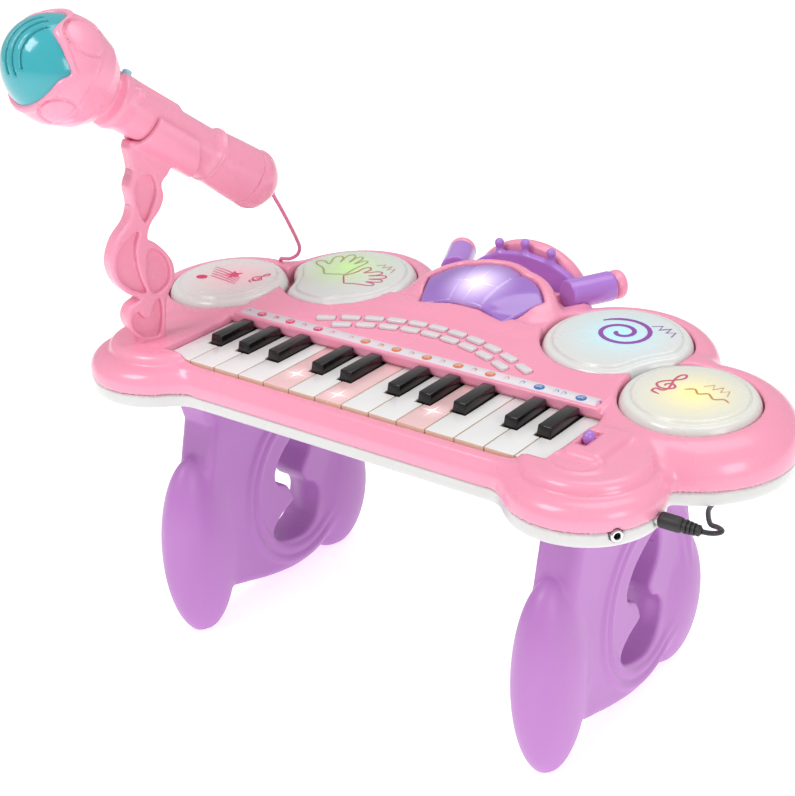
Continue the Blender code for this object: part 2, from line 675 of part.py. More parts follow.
def stand_frame():
    """Outlines drawn as (distance along the stand's plane, height) are extruded across it."""
    origin = STAND_FOOT - UP * STAND_FOOT.z
    return plane_matrix(origin, STAND_ALONG, UP)


def mic_frame():
    """Local +Z runs along the microphone to its head, and local +Y points up out of the cradle."""
    along = STAND_ALONG * math.cos(MIC_RISE) + UP * math.sin(MIC_RISE)
    lift = UP * math.cos(MIC_RISE) - STAND_ALONG * math.sin(MIC_RISE)
    turn = Matrix((STAND_SIDE, lift, along)).transposed()
    tail = STAND_FOOT + STAND_ALONG * MIC_TAIL.x
    return (tail.x, tail.y, MIC_TAIL.y), turn


CLEF_OUTLINE = [(8.0, 207), (8.2, 212), (14.5, 221), (16.5, 229), (13, 236), (6, 239.5), (14, 245),
                (21.5, 255), (23.5, 268), (18, 281), (9, 290), (5, 300), (6, 312), (2, 322), (2, 340),
                (-24, 330), (-24, 317), (-17.5, 310), (-18, 301), (-14, 293), (-7, 286), (-4, 277),
                (-9, 273), (-16, 265), (-20.5, 256), (-20, 245), (-14, 236), (-11.5, 222), (-10.5, 212), (-10.5, 207)]


def stand_foot_outline(grow=0.0):
    return [(-11 - grow, 204 - grow), (8.5 + grow, 204 - grow), (8.5 + grow, 230), (-11 - grow, 230)]


def make_mic_stand():
    stand = prism("mic_stand", smooth_loop(CLEF_OUTLINE, 2), -5.5, 5.5, stand_frame())
    joins = new_collection("mic_stand_joins")
    cuts = new_collection("mic_stand_cuts")
    as_cutter(prism("foot", stand_foot_outline(), -4.5, 4.5, stand_frame(), joins))
    place, turn = mic_frame()
    frame = make_empty("cradle_frame", place, turn, DATUM)
    shape = []
    for i in range(17):
        angle = math.pi + math.pi * i / 16
        shape.append((19.0 * math.cos(angle), 19.0 * math.sin(angle)))
    shape += [(19.0, 3.0), (15.9, 3.0)]
    for i in range(17):
        angle = -math.pi * i / 16
        shape.append((15.9 * math.cos(angle), 15.9 * math.sin(angle)))
    shape += [(-15.9, 3.0), (-19.0, 3.0)]
    as_cutter(prism("cradle", shape, 40, 90, None, joins, frame))
    as_cutter(cylinder("mic_room", (0, 0, 20), (0, 0, 110), 15.85, None, 32, cuts, frame))
    as_cutter(box("mic_way_out", (-15.85, 0, 20), (15.85, 40, 110), cuts, frame))
    add_boolean(stand, "UNION", joins)
    add_boolean(stand, "DIFFERENCE", cuts)
    apply_modifiers(stand)
    finish_part(stand, PINK, 0.3)


def make_microphone():
    place, turn = mic_frame()
    frame = make_empty("mic_axis", place, turn, DATUM)
    handle = [(0, 161.6), (31.5, 161.6), (32.3, 158), (31.8, 148), (28, 136), (22, 127.5), (13, 121.5),
              (14.5, 119.5), (17.5, 117), (18.2, 113.5), (15.8, 106), (15.2, 95), (15.2, 36), (17, 22),
              (18.4, 12), (19, 0.3), (0, 0.3)]
    body = turned("mic_body", handle, (0, 0, 0), 24, None, frame)
    pocket = new_collection("mic_pocket")
    cutter = box("switch_pocket", (-3.3, 13.2, 110.7), (3.3, 40, 119.3), pocket, frame)
    add_boolean(body, "DIFFERENCE", as_cutter(cutter))
    apply_modifiers(body)
    finish_part(body, PINK, 0.3)
    dome = []
    for i in range(9):
        angle = math.pi / 2 * (1 - i / 8)
        z = 153.6 + 36 * math.sin(angle)
        if z > 163.6:
            dome.append((31.5 * math.cos(angle), z))
    dome += [(30.4, 161.9), (0, 161.9)]
    grille = turned("mic_grille", dome, (0, 0, 0), 24, None, frame)
    finish_part(grille, TEAL, 0.2)
    bulb = [(0, 0)]
    for i in range(7):
        angle = math.pi / 2 * i / 6
        bulb.append((19 * math.cos(angle), -19 * math.sin(angle)))
    bulb[-1] = (0, -19)
    tail = turned("mic_tail_cap", bulb, (0, 0, 0), 24, None, frame)
    finish_part(tail, PINK, 0.3)
    switch = box("mic_switch", (-3.0, 13.6, 111.0), (3.0, 20.4, 116.0), None, frame)
    add_bevel(switch, 1.2, 2)
    apply_modifiers(switch)
    finish_part(switch, LIGHT_BLUE, 0.2)


# ---- cords, plugs and sockets -------------------------------------------------------------------
SOCKET_R = 3.6
LOBE_MIDDLE = Vector((FRONT_LOBE["x"], FRONT_LOBE["y"], 186.0))
FRONT_WAY = Vector((0.79, -0.613, 0)).normalized()
SIDE_WAY = Vector((1.0, 0.0, 0))
SOCKETS = [(LOBE_MIDDLE + FRONT_WAY * 44.0, FRONT_WAY), (LOBE_MIDDLE + SIDE_WAY * 44.0, SIDE_WAY)]
PLUG_X = FRONT_LOBE["x"] + 46.2
PLUG_END_X = 227.5

MIC_CORD_END = Vector((-169.0, 147.5, 207.0))
MIC_CORD_ROUTE = [(-134.2, 101.5, 286.7), (-135.4, 107.6, 278.5), (-137.0, 115.6, 267.6), (-139.4, 125.4, 254.0),
                  (-142.7, 135.6, 240.2), (-145.5, 141.0, 232.2), (-149.4, 142.6, 226.2), (-155, 141.6, 222.6),
                  (-161.5, 142.0, 221.2), (-166.6, 144.8, 219.2), (-168.8, 147.3, 214.5), (-169, 147.5, 207.0)]

AUX_ROUTE = [(227.8, 12, 186), (231.5, 12.6, 186.0), (235, 15, 185.6), (236.2, 18.8, 184.8), (234, 23, 183.3),
             (228, 28.5, 180.6), (219.5, 36, 176.0), (209, 58, 171.5), (200, 85, 163), (188, 112, 154),
             (173, 142, 142), (157, 163, 128), (138, 173, 110), (119, 172, 84), (105, 166, 54),
             (95, 158, 26), (88, 150, 9), (80, 140, 2.4), (73.5, 129, 1.5), (68.6, 117, 1.5)]
COIL_MIDDLE = (86.0, 104.0)
COIL_R = 16.5
COIL_TURNS_HIGH = 2
END_PLUG_AT = (112.0, 84.0, 4.35)


def make_sockets_and_leads():
    for name, (place, away) in zip(("headphone_socket", "audio_in_socket"), SOCKETS):
        socket = cylinder(name, place - away * 12, place + away * 1.9, SOCKET_R, None, 24)
        bore = new_collection(name + "_bore")
        add_boolean(socket, "DIFFERENCE", as_cutter(
            cylinder("bore", place - away * 10, place + away * 10, 2.1, None, 16, bore)))
        apply_modifiers(socket)
        finish_part(socket, STEEL, 0.25, 1.0)
    way = plane_matrix((PLUG_X, FRONT_LOBE["y"], LOBE_MIDDLE.z), (0, 0, -1), (0, 1, 0))
    length = PLUG_END_X - PLUG_X
    ribs = [(0, length), (1.9, length), (2.2, length - 1)]
    for i in range(4):
        z = length - 2 - 2.2 * i
        ribs += [(2.5 + 0.25 * i, z), (3.3 + 0.15 * i, z - 0.4), (3.3 + 0.15 * i, z - 1.4), (2.6 + 0.25 * i, z - 1.8)]
    ribs += [(3.6, length - 11.5), (4.4, length - 14), (4.5, 1.2), (3.8, 0), (1.75, 0), (1.75, -9), (0.9, -10.5), (0, -10.5)]
    plug = turned("aux_plug", ribs, (0, 0, 0), 12)
    plug.data.transform(way)
    finish_part(plug, BLACK, 0.5)
    cord = tube("aux_cord", smooth_path(AUX_ROUTE, 6.5), AUX_CORD_D)
    cord.data.materials.append(make_material("aux_cord_finish", BLACK, 0.5))
    d = AUX_CORD_D
    inner, outer = COIL_R - d, COIL_R + d
    height = COIL_TURNS_HIGH * d
    ring = [(inner, height), (outer, height), (outer, 0), (inner, 0), (inner, height)]
    coil = turned("aux_coil", ring, (COIL_MIDDLE[0], COIL_MIDDLE[1], 0.02), 24)
    finish_part(coil, BLACK, 0.5)
    end = turned("aux_end_plug", [(0, 36), (1.9, 36), (2.6, 34), (3.4, 28), (4.3, 25), (4.3, 14), (3.6, 13),
                                  (1.75, 13), (1.75, 1.5), (0.9, 0), (0, 0)], (0, 0, 0), 16)
    end.data.transform(plane_matrix(END_PLUG_AT, (0, 0, -1), (1, 0, 0)))
    finish_part(end, BLACK, 0.5)
    lead = tube("mic_cord", smooth_path(MIC_CORD_ROUTE, 5.0), MIC_CORD_D)
    lead.data.materials.append(make_material("mic_cord_finish", PINK, 0.5))



# ---- build --------------------------------------------------------------------------------------
clear_scene()
parts = new_collection("toy_keyboard")
DATUM = bpy.data.objects.new("datum", None)
parts.objects.link(DATUM)
DATUM.location = (0, KEY_FRONT_Y * MM, 0)

make_upper_case()
make_lower_case()
make_case_fittings()
make_white_keys()
make_black_keys()
make_key_bed()
make_pads()
make_buttons()
make_label_and_switch()
make_window_and_crown()
make_leg("left_leg", -1)
make_leg("right_leg", 1)
make_mic_stand()
make_microphone()
make_sockets_and_leads()
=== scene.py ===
"""Looks of the toy electronic keyboard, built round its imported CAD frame.

Shapes are described in millimetres: x from the middle of the keyboard, y from the front edge of the
white keys and going back, z from the table. BODY_PLACE turns them into the frame's metres.
"""
import functools
import math

import bmesh
import bpy
import numpy as np
from mathutils import Matrix, Vector


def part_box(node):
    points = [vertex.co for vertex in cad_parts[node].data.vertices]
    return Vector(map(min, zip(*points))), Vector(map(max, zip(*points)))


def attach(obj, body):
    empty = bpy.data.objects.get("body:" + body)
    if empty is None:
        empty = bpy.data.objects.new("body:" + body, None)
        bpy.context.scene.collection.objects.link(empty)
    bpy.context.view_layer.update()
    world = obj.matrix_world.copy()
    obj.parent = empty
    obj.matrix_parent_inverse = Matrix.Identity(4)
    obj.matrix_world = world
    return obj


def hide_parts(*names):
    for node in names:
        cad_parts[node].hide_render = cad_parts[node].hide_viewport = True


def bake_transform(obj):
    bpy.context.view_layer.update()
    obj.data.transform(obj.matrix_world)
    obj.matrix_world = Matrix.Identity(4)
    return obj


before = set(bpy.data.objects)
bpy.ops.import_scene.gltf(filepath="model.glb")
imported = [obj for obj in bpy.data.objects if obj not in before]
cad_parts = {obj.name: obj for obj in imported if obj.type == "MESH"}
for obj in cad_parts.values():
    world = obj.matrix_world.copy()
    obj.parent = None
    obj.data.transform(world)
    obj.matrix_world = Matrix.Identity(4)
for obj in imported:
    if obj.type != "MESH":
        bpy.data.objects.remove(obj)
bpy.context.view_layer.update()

MM = 0.001
KEY_FRONT_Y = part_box("white_key_01")[0].y / MM
BODY_PLACE = Matrix.Translation((0, KEY_FRONT_Y, 0))
COARSE = 1.0      # grid size multiplier while trying things

SPLIT_Z = 188.0
BASE_Z = 178.0
DECK_Z = 201.5
KEY_PITCH = 20.0
WELL_HALF = 140.6      # half the width of the key well
PAD_WELL = 14.5        # depth of a pad's well below the pad
WHITE_KEYS = 14
KEY_TOP_Z = 205.6
PANEL_FRONT_Y = 61.5
PANEL_SLOPE = 0.14
PANEL_FRONT_Z = 213.0
DECK_LINE_Y = 112      # the deck round the light window is as high as the panel is here
LOBE = dict(x=157.0, y=12.0, r=45.5)
OUTER = dict(x=175.0, y=98.8, r=63.0, pad_r=40.7, pad_z=218.0, out=1.3, front=3.5, top=214.2, soft=20.0)
INNER = dict(x=103.7, y=141.6, r=63.0, pad_r=46.5, pad_z=221.2, out=0.8, front=3.8, top=217.4, soft=14.5)
HUB = dict(x=0.0, y=150.0, r=75.0)
HUMP_MIDDLE, HUMP_RADII = (0, 168, 150), (102, 80, 88)
WING_START, WING_END, WING_R = (44, 182, 223), (59, 212, 223), 10.0
LEG_X, LEG_HALF = 137.65, 14.3
STAND_FOOT = Vector((-160.0, 5.0, 210.0))
STAND_TURN = math.radians(15.0)
MIC_RISE = math.radians(36.3)
MIC_TAIL_ALONG, MIC_TAIL_Z = -84.0, 298.4


# ---- moulded shapes: a distance field turned into a smooth mesh
def away(u, v):
    return np.sqrt(u ** 2 + v ** 2)


def smooth_min(a, b, k):
    h = np.clip(0.5 + 0.5 * (b - a) / k, 0, 1)
    return b + (a - b) * h - k * h * (1 - h)


def smooth_max(a, b, k):
    return -smooth_min(-a, -b, k)


def cut(f, hole, r=0.0):
    """Take a hole's field out of f, its edge rounded by r."""
    return smooth_max(f, -hole, r) if r else np.maximum(f, -hole)


def meet(*fields):
    """Inside every one of the fields."""
    return functools.reduce(np.maximum, fields)


def corner(a, b, r):
    """Inside both fields a and b, with the edge between them rounded to radius r."""
    a, b = a + r, b + r
    return away(np.maximum(a, 0), np.maximum(b, 0)) + np.minimum(np.maximum(a, b), 0) - r


def block(x, y, z, low, high, r):
    """Box with rounded edges."""
    qx = np.abs(x - (low[0] + high[0]) / 2) - (high[0] - low[0]) / 2 + r
    qy = np.abs(y - (low[1] + high[1]) / 2) - (high[1] - low[1]) / 2 + r
    qz = np.abs(z - (low[2] + high[2]) / 2) - (high[2] - low[2]) / 2 + r
    outside = np.sqrt(np.maximum(qx, 0) ** 2 + np.maximum(qy, 0) ** 2 + np.maximum(qz, 0) ** 2)
    return outside + np.minimum(meet(qx, qy, qz), 0) - r


def ellipsoid(x, y, z, middle, radii):
    px, py, pz = x - middle[0], y - middle[1], z - middle[2]
    k0 = np.sqrt((px / radii[0]) ** 2 + (py / radii[1]) ** 2 + (pz / radii[2]) ** 2)
    k1 = np.sqrt((px / radii[0] ** 2) ** 2 + (py / radii[1] ** 2) ** 2 + (pz / radii[2] ** 2) ** 2)
    return k0 * (k0 - 1) / np.maximum(k1, 1e-6)


def rod(x, y, z, start, end, radius, soft=0.5):
    """Cylinder between two points, with rounded ends."""
    start, axis = Vector(start), Vector(end) - Vector(start)
    length = axis.length
    axis = axis / length
    px, py, pz = x - start.x, y - start.y, z - start.z
    along = px * axis.x + py * axis.y + pz * axis.z
    off = np.sqrt(np.maximum(px * px + py * py + pz * pz - along * along, 0))
    return corner(off - radius, np.abs(along - length / 2) - length / 2, soft)


def polygon(u, v, points):
    """Signed distance to a closed flat outline."""
    best = np.full(np.broadcast(u, v).shape, 1e9, np.float32)
    sign = np.ones(best.shape, np.float32)
    for (ax, ay), (bx, by) in zip(points, list(points[1:]) + [points[0]]):
        ex, ey = bx - ax, by - ay
        wx, wy = u - ax, v - ay
        t = np.clip((wx * ex + wy * ey) / (ex * ex + ey * ey + 1e-9), 0, 1)
        best = np.minimum(best, (wx - ex * t) ** 2 + (wy - ey * t) ** 2)
        above, below = (v >= ay) & (v < by) & (ex * wy > ey * wx), (v < ay) & (v >= by) & (ex * wy < ey * wx)
        sign = np.where(above | below, -sign, sign)
    return sign * np.sqrt(best)


def spline(a, b, c, d, t):
    """Point at share t of the way from b to c, on the smooth line through a, b, c and d."""
    rise, bend = 2 * a - 5 * b + 4 * c - d, 3 * b - a - 3 * c + d
    return 0.5 * (2 * b + (c - a) * t + rise * t * t + bend * t ** 3)


def smooth_outline(points, per_span=3):
    """Closed smooth outline through the points."""
    out = []
    for i in range(len(points)):
        a, b, c, d = (Vector(points[(i + k - 1) % len(points)]) for k in range(4))
        for j in range(per_span):
            p = spline(a, b, c, d, j / per_span)
            out.append((p.x, p.y))
    return out


def net(field, low, high, step):
    """Vertices and quads of the surface where the field is zero."""
    axes = [np.arange(low[i] - 2 * step, high[i] + 2.5 * step, step, dtype=np.float32) for i in range(3)]
    grid = np.meshgrid(*axes, indexing="ij", sparse=True)
    f = np.broadcast_to(field(*grid), [len(a) for a in axes]).astype(np.float32)
    cells = [n - 1 for n in f.shape]
    ids, places, quads = [], [], []
    for a in range(3):
        b, c = (a + 1) % 3, (a + 2) % 3
        first, second = np.moveaxis(f, a, 0)[:-1], np.moveaxis(f, a, 0)[1:]
        mask = (first < 0) != (second < 0)
        at = np.argwhere(mask)
        f0, f1 = first[mask], second[mask]
        order = np.argsort([a] + [i for i in range(3) if i != a])
        at = at[:, order]
        point = at.astype(np.float64)
        point[:, a] += f0 / (f0 - f1)
        around = []
        for db, dc in ((0, 0), (-1, 0), (-1, -1), (0, -1)):
            q = at.copy()
            q[:, b] += db
            q[:, c] += dc
            cell = (q[:, 0] * cells[1] + q[:, 1]) * cells[2] + q[:, 2]
            around.append(cell)
            ids.append(cell)
            places.append(point)
        quad = np.stack(around, 1)
        quad[f0 >= 0] = quad[f0 >= 0][:, ::-1]
        quads.append(quad)
    ids, places, quads = np.concatenate(ids), np.concatenate(places), np.concatenate(quads)
    used, where = np.unique(ids, return_inverse=True)
    count = np.bincount(where)
    verts = np.stack([np.bincount(where, places[:, k]) / count for k in range(3)], 1)
    verts = verts * step + np.array([a[0] for a in axes])
    quads = np.searchsorted(used, quads)
    for _ in range(3):
        verts = settle(field, verts, 0.6 * step)
    return verts, quads


def settle(field, verts, most):
    """Each vertex moved onto the surface along the field's slope."""
    e = 0.15
    p = [verts[:, k].astype(np.float32) for k in range(3)]
    value = field(*p)
    slope = []
    for k in range(3):
        more, less = list(p), list(p)
        more[k] = p[k] + e
        less[k] = p[k] - e
        slope.append((field(*more) - field(*less)) / (2 * e))
    slope = np.stack(slope, 1)
    size = np.maximum((slope ** 2).sum(1), 0.05)
    move = slope * (value / size)[:, None]
    length = np.linalg.norm(move, axis=1, keepdims=True)
    return verts - move * np.minimum(1, most / np.maximum(length, 1e-9))


def add_object(name, data):
    obj = bpy.data.objects.new(name, data)
    bpy.context.scene.collection.objects.link(obj)
    return obj


def from_bmesh(bm, name, matrix=None):
    """Object with a bmesh's faces; with a matrix it comes from millimetres and is shaded smooth."""
    mesh = bpy.data.meshes.new(name)
    bm.to_mesh(mesh)
    bm.free()
    if matrix:
        mesh.transform(Matrix.Diagonal((MM, MM, MM, 1)) @ matrix)
        mesh.shade_smooth()
        mesh.set_sharp_from_angle(angle=math.radians(50))
    return add_object(name, mesh)


def mesh_object(name, verts, faces, matrix=BODY_PLACE, smooth=True):
    """Object from points in millimetres and faces all of the same size, or a mixed list."""
    mesh = bpy.data.meshes.new(name)
    if isinstance(faces, np.ndarray):
        sides = faces.shape[1]
        mesh.vertices.add(len(verts))
        mesh.vertices.foreach_set("co", np.asarray(verts, np.float32).ravel())
        mesh.loops.add(faces.size)
        mesh.loops.foreach_set("vertex_index", faces.astype(np.int32).ravel())
        mesh.polygons.add(len(faces))
        mesh.polygons.foreach_set("loop_start", np.arange(0, faces.size, sides, dtype=np.int32))
        mesh.update(calc_edges=True)
    else:
        mesh.from_pydata([tuple(v) for v in verts], [], faces)
    mesh.transform(Matrix.Diagonal((MM, MM, MM, 1)) @ matrix)
    if smooth:
        mesh.shade_smooth()
    return add_object(name, mesh)


def moulded(name, field, low, high, step, matrix=BODY_PLACE):
    verts, quads = net(field, low, high, step * COARSE)
    return mesh_object(name, verts, quads, matrix)


def paint(obj, material):
    """One material for the whole piece, given itself or by its name."""
    obj.data.materials.clear()
    obj.data.materials.append(MATERIALS[material] if isinstance(material, str) else material)


def dress(obj, material, body, slot, *nodes):
    """Give a piece its material and the body it rides on, and hide the CAD nodes it stands for; the slot is
    not used.
    """
    paint(obj, material)
    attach(obj, body)
    if nodes:
        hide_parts(*nodes)
    return obj


# ---- materials
class Nodes:
    """A short way to write a material's node tree."""

    def __init__(self, name):
        self.material = bpy.data.materials.new(name)
        self.material.use_nodes = True
        self.tree = self.material.node_tree
        self.shader = self.tree.nodes["Principled BSDF"]

    def add(self, kind, **inputs):
        node = self.tree.nodes.new(kind)
        for key, value in inputs.items():
            self.set(node, key, value)
        return node

    def set(self, node, key, value):
        """Set or link an input, named in words or as i and its number."""
        numbered = key[0] == "i" and key[1:].isdigit()
        socket = node.inputs[int(key[1:]) if numbered else key.replace("_", " ")]
        if isinstance(value, bpy.types.NodeSocket):
            self.tree.links.new(value, socket)
        else:
            socket.default_value = value

    def look(self, **inputs):
        for key, value in inputs.items():
            self.set(self.shader, key, value)

    def math(self, operation, a, b=0.0, clamp=False):
        node = self.add("ShaderNodeMath", i0=a, i1=b)
        node.operation = operation
        node.use_clamp = clamp
        return node.outputs[0]

    def mix(self, share, a, b):
        node = self.tree.nodes.new("ShaderNodeMix")
        node.data_type = "RGBA"
        for key, value in (("i0", share), ("i6", a), ("i7", b)):
            self.set(node, key, value)
        return node.outputs[2]

    def place(self):
        return self.add("ShaderNodeTexCoord").outputs["Object"]

    def noise(self, scale, detail=3.0):
        node = self.add("ShaderNodeTexNoise", Vector=self.place(), Scale=scale, Detail=detail)
        return node.outputs["Fac"]

    def span(self, value, low, high, to_low, to_high):
        node = self.add("ShaderNodeMapRange", Value=value)
        for key, number in zip(("From Min", "From Max", "To Min", "To Max"), (low, high, to_low, to_high)):
            node.inputs[key].default_value = number
        return node.outputs[0]

    def surface(self, roughness, spread, bump, coat=0.0):
        """Roughness and a fine moulded grain from noise."""
        self.look(Roughness=self.span(self.noise(35.0), 0.3, 0.7, roughness - spread, roughness + spread))
        grain = self.add("ShaderNodeBump", Height=self.noise(900.0, 2.0), Strength=bump, Distance=0.0002)
        wave = self.add("ShaderNodeBump", Height=self.noise(28.0, 1.0), Strength=bump, Distance=0.0012)
        self.set(wave, "Normal", grain.outputs[0])
        self.look(Normal=wave.outputs[0], Coat_Weight=coat, Coat_Roughness=0.08)


def rgb(*value):
    return (*value, 1.0)


def plastic(name, colour, dark, roughness=0.3, spread=0.05, bump=0.12, coat=0.25):
    """Moulded plastic whose colour drifts slightly between two tones."""
    n = Nodes(name)
    share = n.span(n.noise(9.0, 2.0), 0.35, 0.65, 0.0, 1.0)
    n.look(Base_Color=n.mix(share, rgb(*dark), rgb(*colour)))
    n.surface(roughness, spread, bump, coat)
    return n


def light_spot(n, middle, radius, colour, strength, star=0.0, core=0.6):
    """A glow that fades with distance from a point, with a four-pointed glint on request."""
    shift = n.add("ShaderNodeVectorMath", i0=n.place(), i1=tuple(-c for c in middle))
    shift.operation = "ADD"
    length = n.add("ShaderNodeVectorMath", i0=shift.outputs[0])
    length.operation = "LENGTH"
    far = n.math("DIVIDE", length.outputs["Value"], radius)
    fade = n.math("POWER", n.math("SUBTRACT", 1.0, far, True), 2.0)
    if star:
        parts = n.add("ShaderNodeSeparateXYZ", Vector=shift.outputs[0])
        cross = n.math("ABSOLUTE", n.math("MULTIPLY", parts.outputs[0], parts.outputs[1]))
        arms = n.math("SUBTRACT", 1.0, n.math("DIVIDE", cross, star * star), True)
        glints = n.math("MULTIPLY", n.math("MULTIPLY", arms, fade), 1.5 - core)
        fade = n.math("ADD", n.math("MULTIPLY", fade, core), glints)
    n.look(Emission_Color=n.mix(fade, rgb(0, 0, 0), rgb(*colour)), Emission_Strength=strength)
    return fade


PINK = (0.92, 0.345, 0.49)
DEEP_PINK = (0.90, 0.325, 0.47)


MATT = (0.05, 0.12, 0.0)      # spread, grain and coat of the pieces without a gloss


def make_materials():
    """Named materials: the two tones, then roughness, its spread, the grain and the clear coat."""
    looks = {
        "pink_plastic": (PINK, DEEP_PINK, 0.27),
        "white_plastic": ((0.69, 0.69, 0.68), (0.66, 0.66, 0.65), 0.3),
        "purple_plastic": ((0.495, 0.20, 0.55), (0.465, 0.185, 0.52), 0.42, 0.05, 0.12, 0.05),
        "crown_plastic": ((0.46, 0.215, 0.70), (0.43, 0.19, 0.66), 0.22),
        "button_plastic": ((0.76, 0.72, 0.75), (0.73, 0.69, 0.72), 0.3),
        "teal_plastic": ((0.042, 0.40, 0.46), (0.034, 0.375, 0.43), 0.16, 0.05, 0.12, 0.5),
        "pale_blue_plastic": ((0.30, 0.66, 0.74), (0.26, 0.6, 0.7), 0.25),
        "black_key_plastic": ((0.008, 0.006, 0.007), (0.006, 0.005, 0.005), 0.16, 0.03, 0.1, 0.2),
        "black_rubber": ((0.022, 0.022, 0.024), (0.016, 0.016, 0.018), 0.5, 0.06, 0.3, 0.0),
        "pink_cord": ((0.85, 0.24, 0.42), (0.8, 0.2, 0.38), 0.42, *MATT),
        "label_film": ((0.76, 0.70, 0.75), (0.73, 0.67, 0.72), 0.4, *MATT),
        "inner_plastic": ((0.25, 0.25, 0.26), (0.2, 0.2, 0.21), 0.5, *MATT),
        # painted shade: the key bed seen between the keys is coloured as pink in deep shadow
        "painted_gap_shade": ((0.10, 0.02, 0.03), (0.08, 0.015, 0.025), 0.7, *MATT),
        # painted shade of the slots round the sound buttons
        "slot_shade": ((0.62, 0.13, 0.2), (0.55, 0.1, 0.17), 0.6, *MATT),
        "bright_metal": ((0.75, 0.75, 0.77), (0.68, 0.68, 0.7), 0.2, *MATT),
    }
    inks = {"pink": (0.75, 0.03, 0.16), "orange": (0.75, 0.2, 0.08), "blue": (0.03, 0.16, 0.5),
            "purple": (0.32, 0.07, 0.42), "gold": (0.62, 0.33, 0.1), "green": (0.45, 0.5, 0.12),
            "rose": (0.7, 0.12, 0.25)}
    for name, ink in inks.items():
        looks["print_" + name] = (ink, tuple(0.85 * c for c in ink), 0.4, *MATT)
    made = {name: plastic(name, *look) for name, look in looks.items()}
    made["bright_metal"].look(Metallic=1.0)
    return {name: n.material for name, n in made.items()}


MATERIALS = make_materials()


def white_key_material(name, glow_at=None):
    """White key: a bright top and sides painted cream for the shade and pink reflection they catch; the lit
    ones get a pink top, a painted glow and a star glint.
    """
    n = Nodes(name)
    normal = n.add("ShaderNodeNewGeometry").outputs["Normal"]
    up = n.add("ShaderNodeSeparateXYZ", Vector=normal).outputs[2]
    # painted shade and reflection: faces that do not face up are coloured cream instead of white
    side = n.span(up, 0.25, 0.7, 1.0, 0.0)
    # a lit key's top colour is painted pink for the light inside it
    top = rgb(0.83, 0.83, 0.825) if glow_at is None else rgb(0.86, 0.57, 0.58)
    darker = rgb(*(0.97 * c for c in top[:3]))
    drift = n.mix(n.span(n.noise(12.0, 2.0), 0.35, 0.65, 0, 1), top, darker)
    n.look(Base_Color=n.mix(side, drift, rgb(0.76, 0.58, 0.43)))
    n.surface(0.22, 0.04, 0.08, 0.3)
    if glow_at is not None:
        # painted glow on the lit key's top, with a four-pointed star glint
        light_spot(n, glow_at, 0.013, (1.0, 0.75, 0.75), 2.6, star=0.0011, core=0.15)
    return n.material


# ---- case
def tilted(x, y, z, drum, side):
    """Height measured square to a drum's tilted top."""
    ahead = (y - drum["y"]) * math.tan(math.radians(drum["front"]))
    return z - ahead + side * (x - side * drum["x"]) * math.tan(math.radians(drum["out"]))


def round_block(x, y, z, cx, cy, r, top, soft):
    off = away(x - cx, y - cy) - r
    return corner(off, z - top, soft)


def panel_height(y):
    return PANEL_FRONT_Z + (y - PANEL_FRONT_Y) * PANEL_SLOPE


def panel_field(x, y, z):
    sides = meet(np.abs(x) - 137, PANEL_FRONT_Y - y, y - 128)
    return corner(sides, z - panel_height(y), 1.2)


SOCKET_MIDDLE = Vector((LOBE["x"], LOBE["y"], 186.0))
FRONT_WAY = Vector((0.79, -0.613, 0)).normalized()
SIDE_WAY = Vector((1.0, 0.0, 0.0))
SOCKET_BORE_R = 3.9
MIC_CORD_HOLE, MIC_CORD_HOLE_R = (-169.0, 147.5), 1.7


def bore_sockets(f, x, y, z):
    """Cut the two sockets' bores out of a case half."""
    for way in (FRONT_WAY, SIDE_WAY):
        f = cut(f, rod(x, y, z, SOCKET_MIDDLE + way * 30, SOCKET_MIDDLE + way * 60, SOCKET_BORE_R))
    return f


def wing_line(side):
    """Start, end and direction of one of the crown's wings."""
    start, end = (Vector((side * p[0], p[1], p[2])) for p in (WING_START, WING_END))
    return start, end, (end - start).normalized()


def window_outline():
    """Fan of three petals, in plan."""
    points = [(-32, 124), (-12, 129.5), (12, 129.5), (32, 124), (40, 141), (44.5, 153)]
    petals = ((31, 13.5, 5.5, 153, 168), (0, 19, 7.0, 168, 168), (-31, 13.5, 5.5, 168, 153))
    for middle, half, rise, start, end in petals:
        for i in range(7):
            t = i / 6
            x = middle + half * (1 - 2 * t)
            points.append((x, start + (end - start) * t + rise * math.sin(math.pi * t)))
    points += [(-44.5, 153), (-40, 141)]
    return points


WINDOW = window_outline()


def lens_surface(x, y, z):
    """Distance above the window's domed surface, which meets the deck in front."""
    dome = ellipsoid(x, y, z, HUMP_MIDDLE, HUMP_RADII)
    return smooth_min(dome, z - panel_height(DECK_LINE_Y) - 2.2, 4.0)


